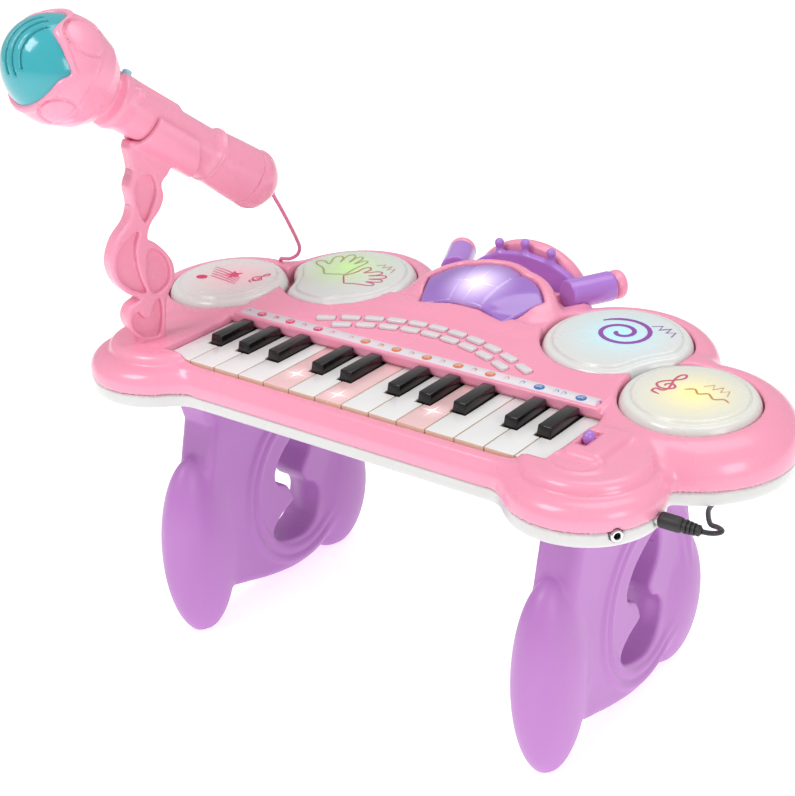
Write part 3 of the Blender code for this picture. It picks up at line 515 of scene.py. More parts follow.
def case_top_field(x, y, z):
    """Upper half of the case: lobes, drums and deck joined, then the openings cut out."""
    f = block(x, y, z, (-160, -12, 150), (160, 170, DECK_Z), 8.5)
    for side in (-1, 1):
        base = round_block(x, y, z, side * LOBE["x"], LOBE["y"], LOBE["r"], 202.5, 10)
        step = round_block(x, y, z, side * (LOBE["x"] - 1.5), LOBE["y"] + 4, 36.5, 209.5, 5.5)
        f = smooth_min(f, smooth_min(base, step, 3.0), 9.0)
    f = smooth_min(f, round_block(x, y, z, HUB["x"], HUB["y"], HUB["r"], 207, 12), 8.0)
    for drum, blend in ((INNER, 7.0), (OUTER, 9.0)):
        for side in (-1, 1):
            height = tilted(x, y, z, drum, side)
            tub = round_block(x, y, height, side * drum["x"], drum["y"], drum["r"], drum["top"], drum["soft"])
            f = smooth_min(f, tub, blend)
    f = smooth_min(f, panel_field(x, y, z), 2.0)
    deck_plan = corner(np.abs(x) - 62, np.abs(y - 154) - 42, 16.0)
    deck = corner(deck_plan, z - panel_height(DECK_LINE_Y), 8.0)
    f = smooth_min(f, deck, 6.0)
    # collar round the window, lower in front, and the swell behind the crown
    dome = lens_surface(x, y, z)
    rise = 1.6 - 5.0 * np.clip((142 - y) / 12.0, 0, 1)
    f = smooth_min(f, corner(polygon(x, y, WINDOW) - 10.0, dome - rise, 5.0), 7.0)
    rim = ellipsoid(x, y, z, (0, 210, 204), (46, 17, 40))
    f = smooth_min(f, rim, 4.0)
    # block beside the keys on each lobe, and the switch's bracket on the right one
    for side in (-1, 1):
        cheek = block(x, y, z, (side * 154 - 13, -3, 180), (side * 154 + 13, 62, 208.5), 3.5)
        f = smooth_min(f, cheek, 2.5)
    bracket = block(x, y, z, (143, 8, 190), (168, 48, 213.3), 4.5)
    f = smooth_min(f, bracket, 3.0)
    # raised ring on the right lobe's step, and the lip in front of the keys
    ring = away(x - 156, (y - 4) * 1.3)
    f = smooth_min(f, away(ring - 15, z - 208.6) - 2.0, 1.5)
    lip = corner(np.maximum(np.abs(x) - 134, np.abs(y + 4) - 4), z - 203.6, 2.5)
    f = smooth_min(f, lip, 3.0)
    # openings: keys, pads, window, switch, crown, wings, sockets and cord
    f = np.maximum(f, SPLIT_Z - z)
    well = meet(np.abs(x) - WELL_HALF, -0.6 - y, y - PANEL_FRONT_Y)
    f = cut(f, well, 0.8)
    tail = meet(np.abs(x) - WELL_HALF, 60 - y, y - 84, z - 206.3)
    f = cut(f, tail)
    for drum in (OUTER, INNER):
        for side in (-1, 1):
            height = tilted(x, y, z, drum, side)
            off = away(x - side * drum["x"], y - drum["y"]) - drum["pad_r"] - 0.7
            f = cut(f, np.maximum(off, drum["pad_z"] - PAD_WELL - height), 1.2)
    window = np.maximum(polygon(x, y, WINDOW) - 0.4, -(dome + 3.2))
    f = cut(f, np.maximum(window, 205 - z), 1.6)
    slot = meet(np.abs(x - 150.6) - 3.2, np.abs(y - 27.5) - 9.5, 209 - z)
    f = cut(f, slot, 0.6)
    crown = meet(np.abs(x) - 52, np.abs(y - 201) - 3.8, 206.5 - z)
    f = cut(f, crown)
    for side in (-1, 1):
        start, end, way = wing_line(side)
        f = cut(f, rod(x, y, z, start - way * 8, end + way * 14, WING_R + 0.7))
    f = bore_sockets(f, x, y, z)
    hole = away(x - MIC_CORD_HOLE[0], y - MIC_CORD_HOLE[1]) - MIC_CORD_HOLE_R
    return cut(f, hole)


def plan_field(x, y):
    """The case's outline in plan."""
    f = np.maximum(np.abs(x) - 158.5, np.abs(y - 78.5) - 89.5)
    for lobe in (LOBE, OUTER, INNER, HUB):
        for side in (-1, 1):
            off = away(x - side * lobe["x"], y - lobe["y"]) - (lobe["r"] - 0.8)
            f = smooth_min(f, off, 9.0)
    return f


def case_base_field(x, y, z):
    wall = plan_field(x, y)
    f = corner(wall, BASE_Z - z, 3.5)
    f = np.maximum(f, z - (SPLIT_Z - 0.35))
    door = meet(np.abs(x) - 45.4, np.abs(y - 130) - 30.4, z - 181)
    f = cut(f, door)
    for number in range(5):
        slot = np.maximum(np.abs(x + 95) - 15, np.abs(y - 119.5 - 8 * number) - 1.5)
        f = cut(f, np.maximum(slot, z - 182))
    for side in (-1, 1):
        head = away(x - side * 150, y + 10) - 3.4
        f = cut(f, head)
    return bore_sockets(f, x, y, z)


def make_case():
    top = moulded("case_top", case_top_field, (-238, -33, 188), (238, 228, 246), 1.5)
    dress(top, "pink_plastic", "root", "case_pink", "upper_case")
    base = moulded("case_base", case_base_field, (-238, -33, 178), (238, 226, 188), 1.7)
    dress(base, "white_plastic", "root", "case_white", "lower_case")


# ---- light window and crown
def window_field(x, y, z):
    shell = lens_surface(x, y, z)
    outline = polygon(x, y, WINDOW) + 0.3
    f = corner(outline, shell + 0.4, 1.2)
    for side in (-1, 1):
        line = np.abs((x - side * 12) - side * (y - 131) * 7 / 46) - 0.2
        f = smooth_max(f, -away(np.maximum(line, 0), shell) + 1.0, 0.5)
    f = np.maximum(f, -(shell + 3.0))
    return np.maximum(f, 205.2 - z)


def make_window():
    lens = moulded("light_lens", window_field, (-46, 122, 205), (46, 186, 240), 0.8)
    n = Nodes("purple_lens")
    share = n.span(n.noise(14.0, 2.0), 0.3, 0.7, 0, 1)
    # painted glow: round this spot the lens gets an emitted glow with a four-pointed glint, and its base
    # colour is painted pale
    spot = (-0.002, (147 + KEY_FRONT_Y) * MM, 0.2345)
    fade = light_spot(n, spot, 0.031, (0.85, 0.78, 1.0), 1.6, star=0.0015)
    base = n.mix(share, rgb(0.36, 0.18, 0.60), rgb(0.32, 0.155, 0.55))
    n.look(Base_Color=n.mix(fade, base, rgb(0.8, 0.75, 0.95)))
    n.surface(0.14, 0.03, 0.05, 0.5)
    dress(lens, n.material, "root", "lens_purple", "light_window")


def crown_field(x, y, z):
    reach = away(x / 47.0, np.maximum(z - 209, 0) / 29.0)
    arch = (reach - 1) * 30
    outer = corner(np.maximum(arch, 209 - z), np.abs(y - 201) - 3.4, 1.6)
    for tip_x, tip_z in ((-20.3, 240.0), (0.0, 243.0), (20.3, 240.0)):
        neck = rod(x, y, z, (tip_x, 201, tip_z - 8), (tip_x, 201, tip_z), 2.2, 1.0)
        ball = np.sqrt((x - tip_x) ** 2 + (y - 201) ** 2 + (z - tip_z - 1.6) ** 2) - 3.2
        outer = smooth_min(outer, smooth_min(neck, ball, 1.2), 3.5)
    for side in (-1, 1):
        start, end, way = wing_line(side)
        outer = smooth_min(outer, rod(x, y, z, start, end, WING_R, 1.2), 2.0)
    return outer


def make_crown():
    crown = moulded("crown_band", crown_field, (-76, 178, 208), (76, 218, 247), 0.9)
    dress(crown, "crown_plastic", "root", "crown_purple", "crown")
    for side, node in ((-1, "left_wing_cap"), (1, "right_wing_cap")):
        end, way = wing_line(side)[1:]

        def field(x, y, z):
            return rod(x, y, z, end + way * 0.3, end + way * 8.8, WING_R - 0.2, 3.2)
        low = [min(end[i], (end + way * 9)[i]) - 11 for i in range(3)]
        high = [max(end[i], (end + way * 9)[i]) + 11 for i in range(3)]
        cap = moulded(node + "_shell", field, low, high, 0.9)
        dress(cap, "pink_plastic", "root", "case_pink", node)


# ---- legs
LEG_OUTLINE = smooth_outline([
    (22, 177.7), (19, 150), (13, 125), (8, 100), (8, 60), (25, 28), (46, 19), (71, 12),
    (97, 8), (123, 11), (145, 25), (160, 60), (163, 85), (157, 110), (151, 140), (148, 177.7)])
LEG_CUTOUT = smooth_outline([
    (114, 116), (108, 117), (96, 111), (84, 102), (77, 91), (78, 83), (83, 80), (89, 76),
    (94, 66), (93, 62), (81, 57), (72, 49), (74, 41), (85, 35), (102, 32), (114, 37),
    (120, 48), (122, 59), (117, 67), (110, 71), (105, 80), (108, 87), (113, 94), (116, 105)])


def leg_field(x, y, z):
    wide = np.abs(x) - LEG_HALF
    f = corner(polygon(y, z, LEG_OUTLINE), wide, 6.0)
    for grow in (0.0, -8.0):
        around = away((y - 102) / (54 + grow), (z - 76) / (60 + grow))
        oval = (around - 1) * (54 + grow)
        ridge = away(oval, np.abs(x) - LEG_HALF + 1.2) - 3.0
        f = smooth_min(f, ridge, 2.0)
    f = cut(f, polygon(y, z, LEG_CUTOUT), 2.5)
    front = ellipsoid(x, y, z, (0, 11, 62), (20, 29, 66))
    rear = ellipsoid(x, y, z, (0, 152, 47), (20, 34, 51))
    f = smooth_min(f, smooth_min(front, rear, 2.0), 3.0)
    f = cut(f, z, 1.0)
    return np.maximum(f, z - 177.8)


def make_legs():
    for side, node in ((-1, "left_leg"), (1, "right_leg")):
        place = BODY_PLACE @ Matrix.Translation((side * LEG_X, 0, 0))
        leg = moulded(node + "_shell", leg_field, (-21, -19, 0), (21, 187, 178), 1.5, place)
        dress(leg, "purple_plastic", "root", "leg_purple", node)


# ---- microphone and its stand
STAND_ALONG = Vector((-math.sin(STAND_TURN), -math.cos(STAND_TURN), 0))
STAND_SIDE = Vector((math.cos(STAND_TURN), -math.sin(STAND_TURN), 0))
UP = Vector((0, 0, 1))


def placed(origin, x_axis, y_axis, z_axis):
    turn = Matrix((x_axis, y_axis, z_axis)).transposed().to_4x4()
    return BODY_PLACE @ Matrix.Translation(origin) @ turn


MIC_WAY = STAND_ALONG * math.cos(MIC_RISE) + UP * math.sin(MIC_RISE)
MIC_LIFT = UP * math.cos(MIC_RISE) - STAND_ALONG * math.sin(MIC_RISE)
MIC_TAIL = STAND_FOOT + STAND_ALONG * MIC_TAIL_ALONG
MIC_TAIL = Vector((MIC_TAIL.x, MIC_TAIL.y, MIC_TAIL_Z))
MIC_PLACE = placed(MIC_TAIL, STAND_SIDE, MIC_LIFT, MIC_WAY)
STAND_PLACE = placed(STAND_FOOT - UP * STAND_FOOT.z, STAND_ALONG, UP, STAND_ALONG.cross(UP))

CLEF = smooth_outline([
    (8.0, 207), (8.2, 212), (14.5, 221), (16.5, 229), (13, 236), (6, 239.5), (14, 245), (21.5, 255),
    (23.5, 268), (18, 281), (9, 290), (5, 300), (6, 312), (2, 322), (2, 340), (-24, 330), (-24, 317),
    (-17.5, 310), (-18, 301), (-14, 293), (-7, 286), (-4, 277), (-9, 273), (-16, 265), (-20.5, 256),
    (-20, 245), (-14, 236), (-11.5, 222), (-10.5, 212), (-10.5, 207)])
TEARDROP = smooth_outline([(-3, 288), (1, 299), (1.5, 310), (-4, 317), (-11, 316), (-13, 306), (-9, 296)])
LEFT_BOWL = smooth_outline([
    (2, 283), (10, 280), (18, 271), (19.5, 261), (16, 252), (8, 245), (0.5, 242.5), (3.5, 252),
    (5.5, 264), (5, 274)])
HOOK = smooth_outline([
    (-6, 213), (0, 212), (6, 214), (12, 221), (12.5, 228), (8, 231), (4, 226), (-1, 226), (-3, 232),
    (-8, 236), (-9, 226)])
RIGHT_BOWL = smooth_outline([
    (-2.5, 268), (-8, 269), (-14, 263.5), (-17.3, 255), (-16, 246), (-10, 241), (-4, 241), (-1, 250)])


def mic_axes(s, z):
    """Place in the microphone's own plane: along it and up out of the cradle."""
    ds, dz = s - MIC_TAIL_ALONG, z - MIC_TAIL_Z
    c, d = math.cos(MIC_RISE), math.sin(MIC_RISE)
    return ds * c + dz * d, -ds * d + dz * c


def stand_field(s, z, w):
    f = corner(polygon(s, z, CLEF), np.abs(w) - 5.4, 1.6)
    for shape in (TEARDROP, LEFT_BOWL, RIGHT_BOWL, HOOK):
        inner = np.maximum(polygon(s, z, shape), 1.8 - np.abs(w))
        f = cut(f, inner, 1.2)
    along, lift = mic_axes(s, z)
    off = away(w, np.minimum(lift, 0))
    bend = (np.abs(w) / 19.0) ** 2
    shell = corner(np.maximum(off - 19.0, 15.7 - off), lift - 3.2, 1.0)
    cradle = corner(shell, np.maximum(39 - along + 2 * bend, along - 90), 1.2)
    f = smooth_min(f, cradle, 3.0)
    room = np.maximum(off - 15.7, np.maximum(20 - along, along - 115))
    return cut(f, room)


HANDLE = [(0, 158.5), (31.0, 158.5), (32.1, 156), (31.6, 147), (28, 136), (22, 127.5), (13, 121.5),
          (14.5, 119.5), (17.5, 117), (18.0, 113.5), (15.6, 106), (15.1, 95), (15.1, 42), (16.6, 37),
          (17.2, 30), (17.8, 22), (18.4, 12), (18.8, 4), (0, 4)]
DOME_MIDDLE, DOME_LONG, DOME_WIDE = 153.6, 36.0, 31.5


def mic_head_edge(x, y):
    """How far the pink petals reach along the microphone, round its head."""
    around = np.degrees(np.abs(np.arctan2(x, y)))
    return 167.0 + 10.5 * np.exp(-((around - 50) / 26) ** 2) - 4.5 * np.exp(-((around - 93) / 9) ** 2)


def mic_body_field(x, y, z):
    off = away(x, y)
    f = polygon(off, z, HANDLE) - 0.2
    shell = ellipsoid(x, y, z, (0, 0, DOME_MIDDLE), (DOME_WIDE, DOME_WIDE, DOME_LONG))
    edge = mic_head_edge(x, y)
    petal = meet(shell - 1.5, -(shell + 1.0), z - edge)
    petal = np.maximum(petal, 150 - z)
    f = smooth_min(f, petal, 1.0)
    lip = np.sqrt((z - edge + 1.5) ** 2 * 0.8 + (shell - 1.0) ** 2) - 1.7
    f = smooth_min(f, lip, 0.8)
    around = np.degrees(np.abs(np.arctan2(x, y)))
    for middle, high, size in ((45, 160, 12.5), (138, 154, 11.0)):
        # sunk pane inside each petal
        pane = away((around - middle) * 0.55, (z - high) * 0.95) - size
        groove = meet(np.abs(pane) - 0.9, np.abs(off - 30.0) - 7.0, 138 - z)
        f = cut(f, np.maximum(groove, -(shell - 0.4)), 1.0)
    band = away(z - 36.0, off - 16.8) - 1.2
    f = smooth_min(f, band, 0.8)
    seam = np.maximum(np.abs(z - 19.5) - 0.35, 17.0 - off)
    f = cut(f, seam)
    boss = np.sqrt((x - 12.2) ** 2 + (y - 9.5) ** 2 + (z - 108) ** 2) - 4.6
    f = smooth_min(f, boss, 1.0)
    saddle = block(x, y, z, (-6, 8, 70), (6, 17.2, 112), 4.0)
    f = smooth_min(f, saddle, 3.0)
    pocket = meet(np.abs(x) - 3.3, np.abs(z - 115) - 4.4, 13.2 - y)
    return cut(f, pocket)


def mic_tail_field(x, y, z):
    ball = np.sqrt(x * x + y * y + z * z) - 19.0
    ridge = away(away(y, z) - 19.0, x - 4) - 1.0
    f = smooth_min(ball, ridge, 1.0)
    return meet(f, z - 3.7, ball - 0.9)


def grille_field(x, y, z):
    shell = ellipsoid(x, y, z, (0, 0, DOME_MIDDLE), (DOME_WIDE, DOME_WIDE, DOME_LONG))
    f = np.maximum(shell, 148 - z)
    for start, half in ((-1.0, 19.0), (5.0, 18.0), (11.0, 14.0)):
        # curved slots over the tip of the dome
        line = np.abs(x - start - 0.014 * (y - 2) ** 2) - 0.85
        slot = meet(line, np.abs(y - 2) - half, 160 - z)
        f = cut(f, np.maximum(slot, -(shell + 2.0)), 0.6)
    return f


def make_microphone():
    stand = moulded("clef_stand", stand_field, (-36, 204, -21), (27, 356, 21), 1.0, STAND_PLACE)
    dress(stand, "pink_plastic", "root", "case_pink", "mic_stand")
    body = moulded("mic_shell", mic_body_field, (-33, -33, 3), (33, 33, 178), 1.0, MIC_PLACE)
    dress(body, "pink_plastic", "microphone", "mic_pink", "mic_body")
    tail = moulded("mic_tail", mic_tail_field, (-20, -20, -20), (20, 20, 4), 0.9, MIC_PLACE)
    dress(tail, "pink_plastic", "microphone", "mic_pink", "mic_tail_cap")
    grille = moulded("mic_dome", grille_field, (-32, -32, 148), (32, 32, 190), 0.9, MIC_PLACE)
    dress(grille, "teal_plastic", "microphone", "mic_teal", "mic_grille")

    def knob_field(x, y, z):
        return block(x, y, z, (-2.9, 13.8, 111.2), (2.9, 20.2, 115.9), 1.6)
    knob = moulded("mic_slider", knob_field, (-3, 13.5, 111), (3, 20.5, 116.2), 0.5, MIC_PLACE)
    dress(knob, "pale_blue_plastic", "mic_switch", "switch_blue", "mic_switch")


# ---- keys
BLACK_GROUPS = {1: -3.8, 2: -0.8, 3: 3.8, 5: -1.2, 6: 0.8, 8: -3.3, 9: -0.8, 10: 3.8, 12: -1.2, 13: 0.8}
BLACK_WIDTH = 10.6
BLACK_FRONT_Y = 27.5
KEY_REAR_Y = 74.0
LIT_KEYS = {5: 32.0, 7: 22.0, 10: 34.0}      # white key number and how far back its glow sits
KEY_GAP = 0.35
KEY_THICK, BLACK_THICK, BLACK_RISE = 7.9, 7.8, 5.8


def prism_mesh(name, outline, low, high, bevel, segments=3, matrix=BODY_PLACE, shape=None):
    """Upright prism with bevelled edges."""
    bm = bmesh.new()
    bottom = [bm.verts.new((u, v, low)) for u, v in outline]
    face = bm.faces.new(bottom)
    moved = bmesh.ops.extrude_face_region(bm, geom=[face])["geom"]
    for vert in moved:
        if isinstance(vert, bmesh.types.BMVert):
            vert.co.z = high
    bmesh.ops.recalc_face_normals(bm, faces=bm.faces)
    if shape:
        for vert in bm.verts:
            shape(vert)
    bmesh.ops.bevel(bm, geom=list(bm.edges), offset=bevel, segments=segments, profile=0.5, affect="EDGES",
                    clamp_overlap=True)
    return from_bmesh(bm, name, matrix)


def key_line_x(index):
    return (index - WHITE_KEYS / 2) * KEY_PITCH


def make_keys():
    plain = white_key_material("white_key_plastic")
    for index in range(WHITE_KEYS):
        left, right = key_line_x(index) + KEY_GAP, key_line_x(index + 1) - KEY_GAP
        room = BLACK_WIDTH / 2 + 0.5
        rear_left, rear_right = left, right
        if index in BLACK_GROUPS:
            rear_left = key_line_x(index) + BLACK_GROUPS[index] + room
        if index + 1 in BLACK_GROUPS:
            rear_right = key_line_x(index + 1) + BLACK_GROUPS[index + 1] - room
        notch = BLACK_FRONT_Y - 0.8
        outline = [(left, 0), (right, 0)]
        if rear_right < right:
            outline += [(right, notch), (rear_right, notch)]
        outline += [(rear_right, KEY_REAR_Y), (rear_left, KEY_REAR_Y)]
        if rear_left > left:
            outline += [(rear_left, notch), (left, notch)]
        node = f"white_key_{index + 1:02d}"
        key = prism_mesh(f"white_cap_{index + 1:02d}", outline, KEY_TOP_Z - KEY_THICK, KEY_TOP_Z, 0.45)
        material = plain
        if index + 1 in LIT_KEYS:
            spot = ((left + right) / 2 * MM, (LIT_KEYS[index + 1] - 12 + KEY_FRONT_Y) * MM, KEY_TOP_Z * MM)
            material = white_key_material(f"lit_key_plastic_{index + 1}", spot)
        dress(key, material, node, "key_white", node)
    for number, index in enumerate(sorted(BLACK_GROUPS), 1):
        middle = key_line_x(index) + BLACK_GROUPS[index]
        half = BLACK_WIDTH / 2
        outline = [(middle - half, BLACK_FRONT_Y), (middle + half, BLACK_FRONT_Y),
                   (middle + half, PANEL_FRONT_Y - 0.7), (middle - half, PANEL_FRONT_Y - 0.7)]

        def slope(vert):
            if vert.co.z > KEY_TOP_Z:
                vert.co.x = middle + (vert.co.x - middle) * 0.8
                if vert.co.y < BLACK_FRONT_Y + 1:
                    vert.co.y += 2.2
        node = f"black_key_{number:02d}"
        key = prism_mesh(f"black_cap_{number:02d}", outline, KEY_TOP_Z - BLACK_THICK,
                         KEY_TOP_Z + BLACK_RISE, 0.7, shape=slope)
        dress(key, "black_key_plastic", node, "key_black", node)


# ---- drum pads
def pad_profile(depth, r):
    """Height of a pad's top above its seat plane, at a distance in from its edge."""
    dome = 1.5 * (1 - np.clip(1 - depth / r, 0, 1) ** 2)
    step = 1.7 * (1 - np.clip(depth - 6.5, 0, 1.2) / 1.2)
    rim = 5.0 * np.clip(1 - depth / 4.0, 0, 1) ** 2
    return dome - step - rim + 0.1


def pad_plan(x, y, drum, side):
    off = away(x, y) - drum["pad_r"]
    if drum is INNER:
        bite_x, bite_y = side * (OUTER["x"] - INNER["x"]), OUTER["y"] - INNER["y"]
        bite = away(x - bite_x, y - bite_y) - OUTER["pad_r"] - 3.8
        off = smooth_max(off, -bite, 6.0)
    return off


def pad_place(drum, side):
    out = Matrix.Rotation(math.radians(side * drum["out"]), 4, "Y")
    front = Matrix.Rotation(math.radians(drum["front"]), 4, "X")
    return BODY_PLACE @ Matrix.Translation((side * drum["x"], drum["y"], drum["pad_z"])) @ (out @ front)


def pad_material(name, place, spot, glow, painted_glow_colour):
    n = Nodes(name)
    middle = Matrix.Diagonal((MM, MM, MM, 1)) @ place @ Vector((*spot, 1.0, 1.0))
    # painted glow: a faint emitted glow round the spot, where the base colour also turns to the painted glow
    # colour
    fade = light_spot(n, middle[:3], 0.046, glow, 0.30)
    base = n.mix(n.span(n.noise(10.0, 2.0), 0.35, 0.65, 0, 1), rgb(0.75, 0.76, 0.74), rgb(0.72, 0.73, 0.71))
    n.look(Base_Color=n.mix(fade, base, rgb(*painted_glow_colour)), Subsurface_Weight=0.15,
           Subsurface_Radius=(0.01, 0.01, 0.01))
    n.surface(0.26, 0.05, 0.06, 0.35)
    return n.material


def ribbon(points, width, closed=False):
    """Flat strip along a line in a pad's plane: its points and faces."""
    points = [Vector(p) for p in points]
    count = len(points)
    verts, faces = [], []
    for i, p in enumerate(points):
        before = points[i - 1] if i or closed else p
        after = points[(i + 1) % count] if i < count - 1 or closed else p
        way = (after - before).normalized()
        across = Vector((-way.y, way.x)) * width / 2
        if not closed:
            share = min(1.0, 0.45 + min(i, count - 1 - i) * 0.3)
            across *= share
        verts += [p + across, p - across]
    for i in range(count if closed else count - 1):
        j = (i + 1) % count
        faces.append((2 * i, 2 * i + 1, 2 * j + 1, 2 * j))
    return verts, faces


def decal(name, strokes, height, place, material, body, slot):
    """Thin printed strokes lying on a curved top: `height` gives the top at each point."""
    verts, faces = [], []
    for line, width, closed in strokes:
        if width:
            points, quads = ribbon(line, width, closed)
        else:
            points, quads = [Vector(p) for p in line], [tuple(range(len(line)))]
        base = len(verts)
        verts += [(p.x, p.y, float(height(p.x, p.y)) + 0.12) for p in points]
        faces += [tuple(base + i for i in face) for face in quads]
    obj = mesh_object(name, verts, faces, place, smooth=False)
    bm = bmesh.new()
    bm.from_mesh(obj.data)
    for face in bm.faces:
        face.normal_update()
        if face.normal.z < 0:
            face.normal_flip()
    bm.to_mesh(obj.data)
    bm.free()
    return dress(obj, material, body, slot)


def arc(cx, cy, r, start, end, count=16, squash=1.0):
    turns = [math.radians(start + (end - start) * i / (count - 1)) for i in range(count)]
    return [(cx + r * math.cos(t), cy + squash * r * math.sin(t)) for t in turns]


def curved(points, per_span=5):
    """Open smooth line through the points."""
    ends = [2 * Vector(points[0]) - Vector(points[1])] + [Vector(p) for p in points]
    ends.append(2 * Vector(points[-1]) - Vector(points[-2]))
    out = []
    for i in range(1, len(ends) - 2):
        a, b, c, d = ends[i - 1:i + 3]
        for j in range(per_span):
            out.append(spline(a, b, c, d, j / per_span))
    out.append(ends[-2])
    return out


def turned_line(line, x, y, size, turn=0.0):
    """A small drawing scaled, turned and moved to its place."""
    c, s = math.cos(turn), math.sin(turn)
    return [(x + size * (u * c - v * s), y + size * (u * s + v * c)) for u, v in line]


ZIGZAG = [(-1.5, -0.35), (-0.9, 0.55), (-0.5, -0.3), (0.0, 0.75), (0.35, -0.2), (0.85, 0.55), (1.3, -0.45)]
SMALL_CLEF = [(0.1, -1.15), (-0.35, -1.0), (-0.3, -0.7), (0.05, -0.75), (0.22, -0.4), (0.05, 0.5),
              (0.1, 1.05), (0.32, 1.2), (0.42, 0.85), (0.1, 0.45), (-0.35, 0.1), (-0.5, -0.25),
              (-0.2, -0.55), (0.25, -0.5), (0.45, -0.22), (0.2, 0.05), (-0.08, -0.1), (-0.05, -0.3)]
# open hand: four fingers, a thumb and a cuff
HAND = [(-0.5, -0.9), (-0.75, -0.3), (-1.15, 0.1), (-1.2, 0.4), (-0.9, 0.42), (-0.6, 0.1), (-0.62, 0.8),
        (-0.4, 0.98), (-0.22, 0.75), (-0.2, 0.3), (-0.12, 1.0), (0.1, 1.15), (0.24, 0.9), (0.18, 0.3),
        (0.34, 0.85), (0.56, 0.92), (0.6, 0.65), (0.45, 0.15), (0.72, 0.5), (0.92, 0.45), (0.85, 0.15),
        (0.6, -0.35), (0.4, -0.9)]


def spiral(x, y, r, turns):
    count = 48
    out = []
    for i in range(count):
        t = i / (count - 1)
        angle = math.radians(150) - t * turns * 2 * math.pi
        reach = 1 - 0.88 * t
        out.append((x + r * reach * math.cos(angle), y + r * 0.92 * reach * math.sin(angle)))
    return out


def pad_prints(number):
    """The printed marks of one pad: material, then each stroke's line, width and whether it closes."""
    if number == 1:
        fan = [curved([(-20 + 2.0 * i, 9 - 3.4 * i), (-4, 6 - 3.0 * i), (11 + 0.8 * i, 0 - 2.2 * i)])
               for i in range(5)]
        reach = [6.8 if i % 2 else 2.9 for i in range(10)]
        star = [(3 + far * math.sin(math.pi * i / 5), 3 + far * math.cos(math.pi * i / 5))
                for i, far in enumerate(reach)]
        return [("print_rose", [(line, 1.0, False) for line in fan]),
                ("print_pink", [(star, 0, True), (arc(-16, -9, 4.6, 0, 340, 14, 0.7), 0, True),
                                (curved(turned_line(SMALL_CLEF, 22, 7, 7.5), 4), 1.0, False)])]
    if number == 2:
        return [("print_green", [(curved(turned_line(HAND, -11, 8, 17, 0.35), 4), 1.2, True)]),
                ("print_rose", [(curved(turned_line(HAND, 15, -4, 14, -0.9), 4), 1.2, True),
                                (turned_line(ZIGZAG, 20, 17, 6, -0.3), 1.1, False)])]
    if number == 3:
        return [("print_purple", [(spiral(0, 5, 21, 1.9), 3.0, False),
                                  (turned_line(ZIGZAG, 22, 20, 6.5, -0.35), 1.7, False)])]
    wave = curved([(-4, 0), (1, 3), (5, -1), (10, 2), (15, -2), (20, 1), (24, -1)])
    return [("print_rose", [(curved(turned_line(SMALL_CLEF, -15, 2, 12), 4), 1.5, False)]),
            ("print_gold", [(turned_line(ZIGZAG, 13, 9, 6, -0.2), 1.2, False), (wave, 1.3, False)])]


def make_pads():
    # each pad: drum, side, glow spot, emitted glow colour, the painted glow colour of its base and a word for
    # the material name
    looks = [
        (OUTER, -1, (4, 2), (0.6, 0.2, 0.24), (0.85, 0.45, 0.51), "pink"),
        (INNER, -1, (-6, 6), (0.45, 0.9, 0.2), (0.60, 0.84, 0.36), "green"),
        (INNER, 1, (0, 3), (0.3, 0.8, 1.0), (0.42, 0.78, 0.86), "blue"),
        (OUTER, 1, (2, -2), (1.0, 0.85, 0.25), (0.9, 0.80, 0.34), "yellow"),
    ]
    for number, (drum, side, spot, glow, painted_glow_colour, word) in enumerate(looks, 1):
        place = pad_place(drum, side)
        r = drum["pad_r"]

        def field(x, y, z):
            plan = pad_plan(x, y, drum, side)
            top = z - pad_profile(np.maximum(-plan, 0), r)
            return np.maximum(corner(plan, top * 0.85, 1.0), -9.0 - z)

        def height(u, v):
            plan = pad_plan(np.float32(u), np.float32(v), drum, side)
            return pad_profile(np.maximum(-plan, 0), r)
        body = f"drum_pad_{number}"
        pad = moulded(f"pad_{number}_cap", field, (-r, -r, -9), (r, r, 2), 0.9, place)
        dress(pad, pad_material(f"pad_{word}_glow", place, spot, glow, painted_glow_colour), body, "pad_white", body)
        for material, strokes in pad_prints(number):
            decal(f"pad_{number}_{material}", strokes, height, place, material, body, "pad_white")


# ---- sound buttons, label and switch
def button_places(count, half_width, y_middle, y_drop):
    places = []
    for i in range(count):
        x = half_width * (2 * i / (count - 1) - 1)
        y = y_middle - y_drop * (x / half_width) ** 2
        places.append((x, y, math.atan(-2 * y_drop * x / half_width ** 2)))
    return places


BUTTON, BUTTON_GAP = (12.6, 5.6), 0.55


def edge_rise(edge):
    return abs(edge.verts[0].co.z - edge.verts[1].co.z)


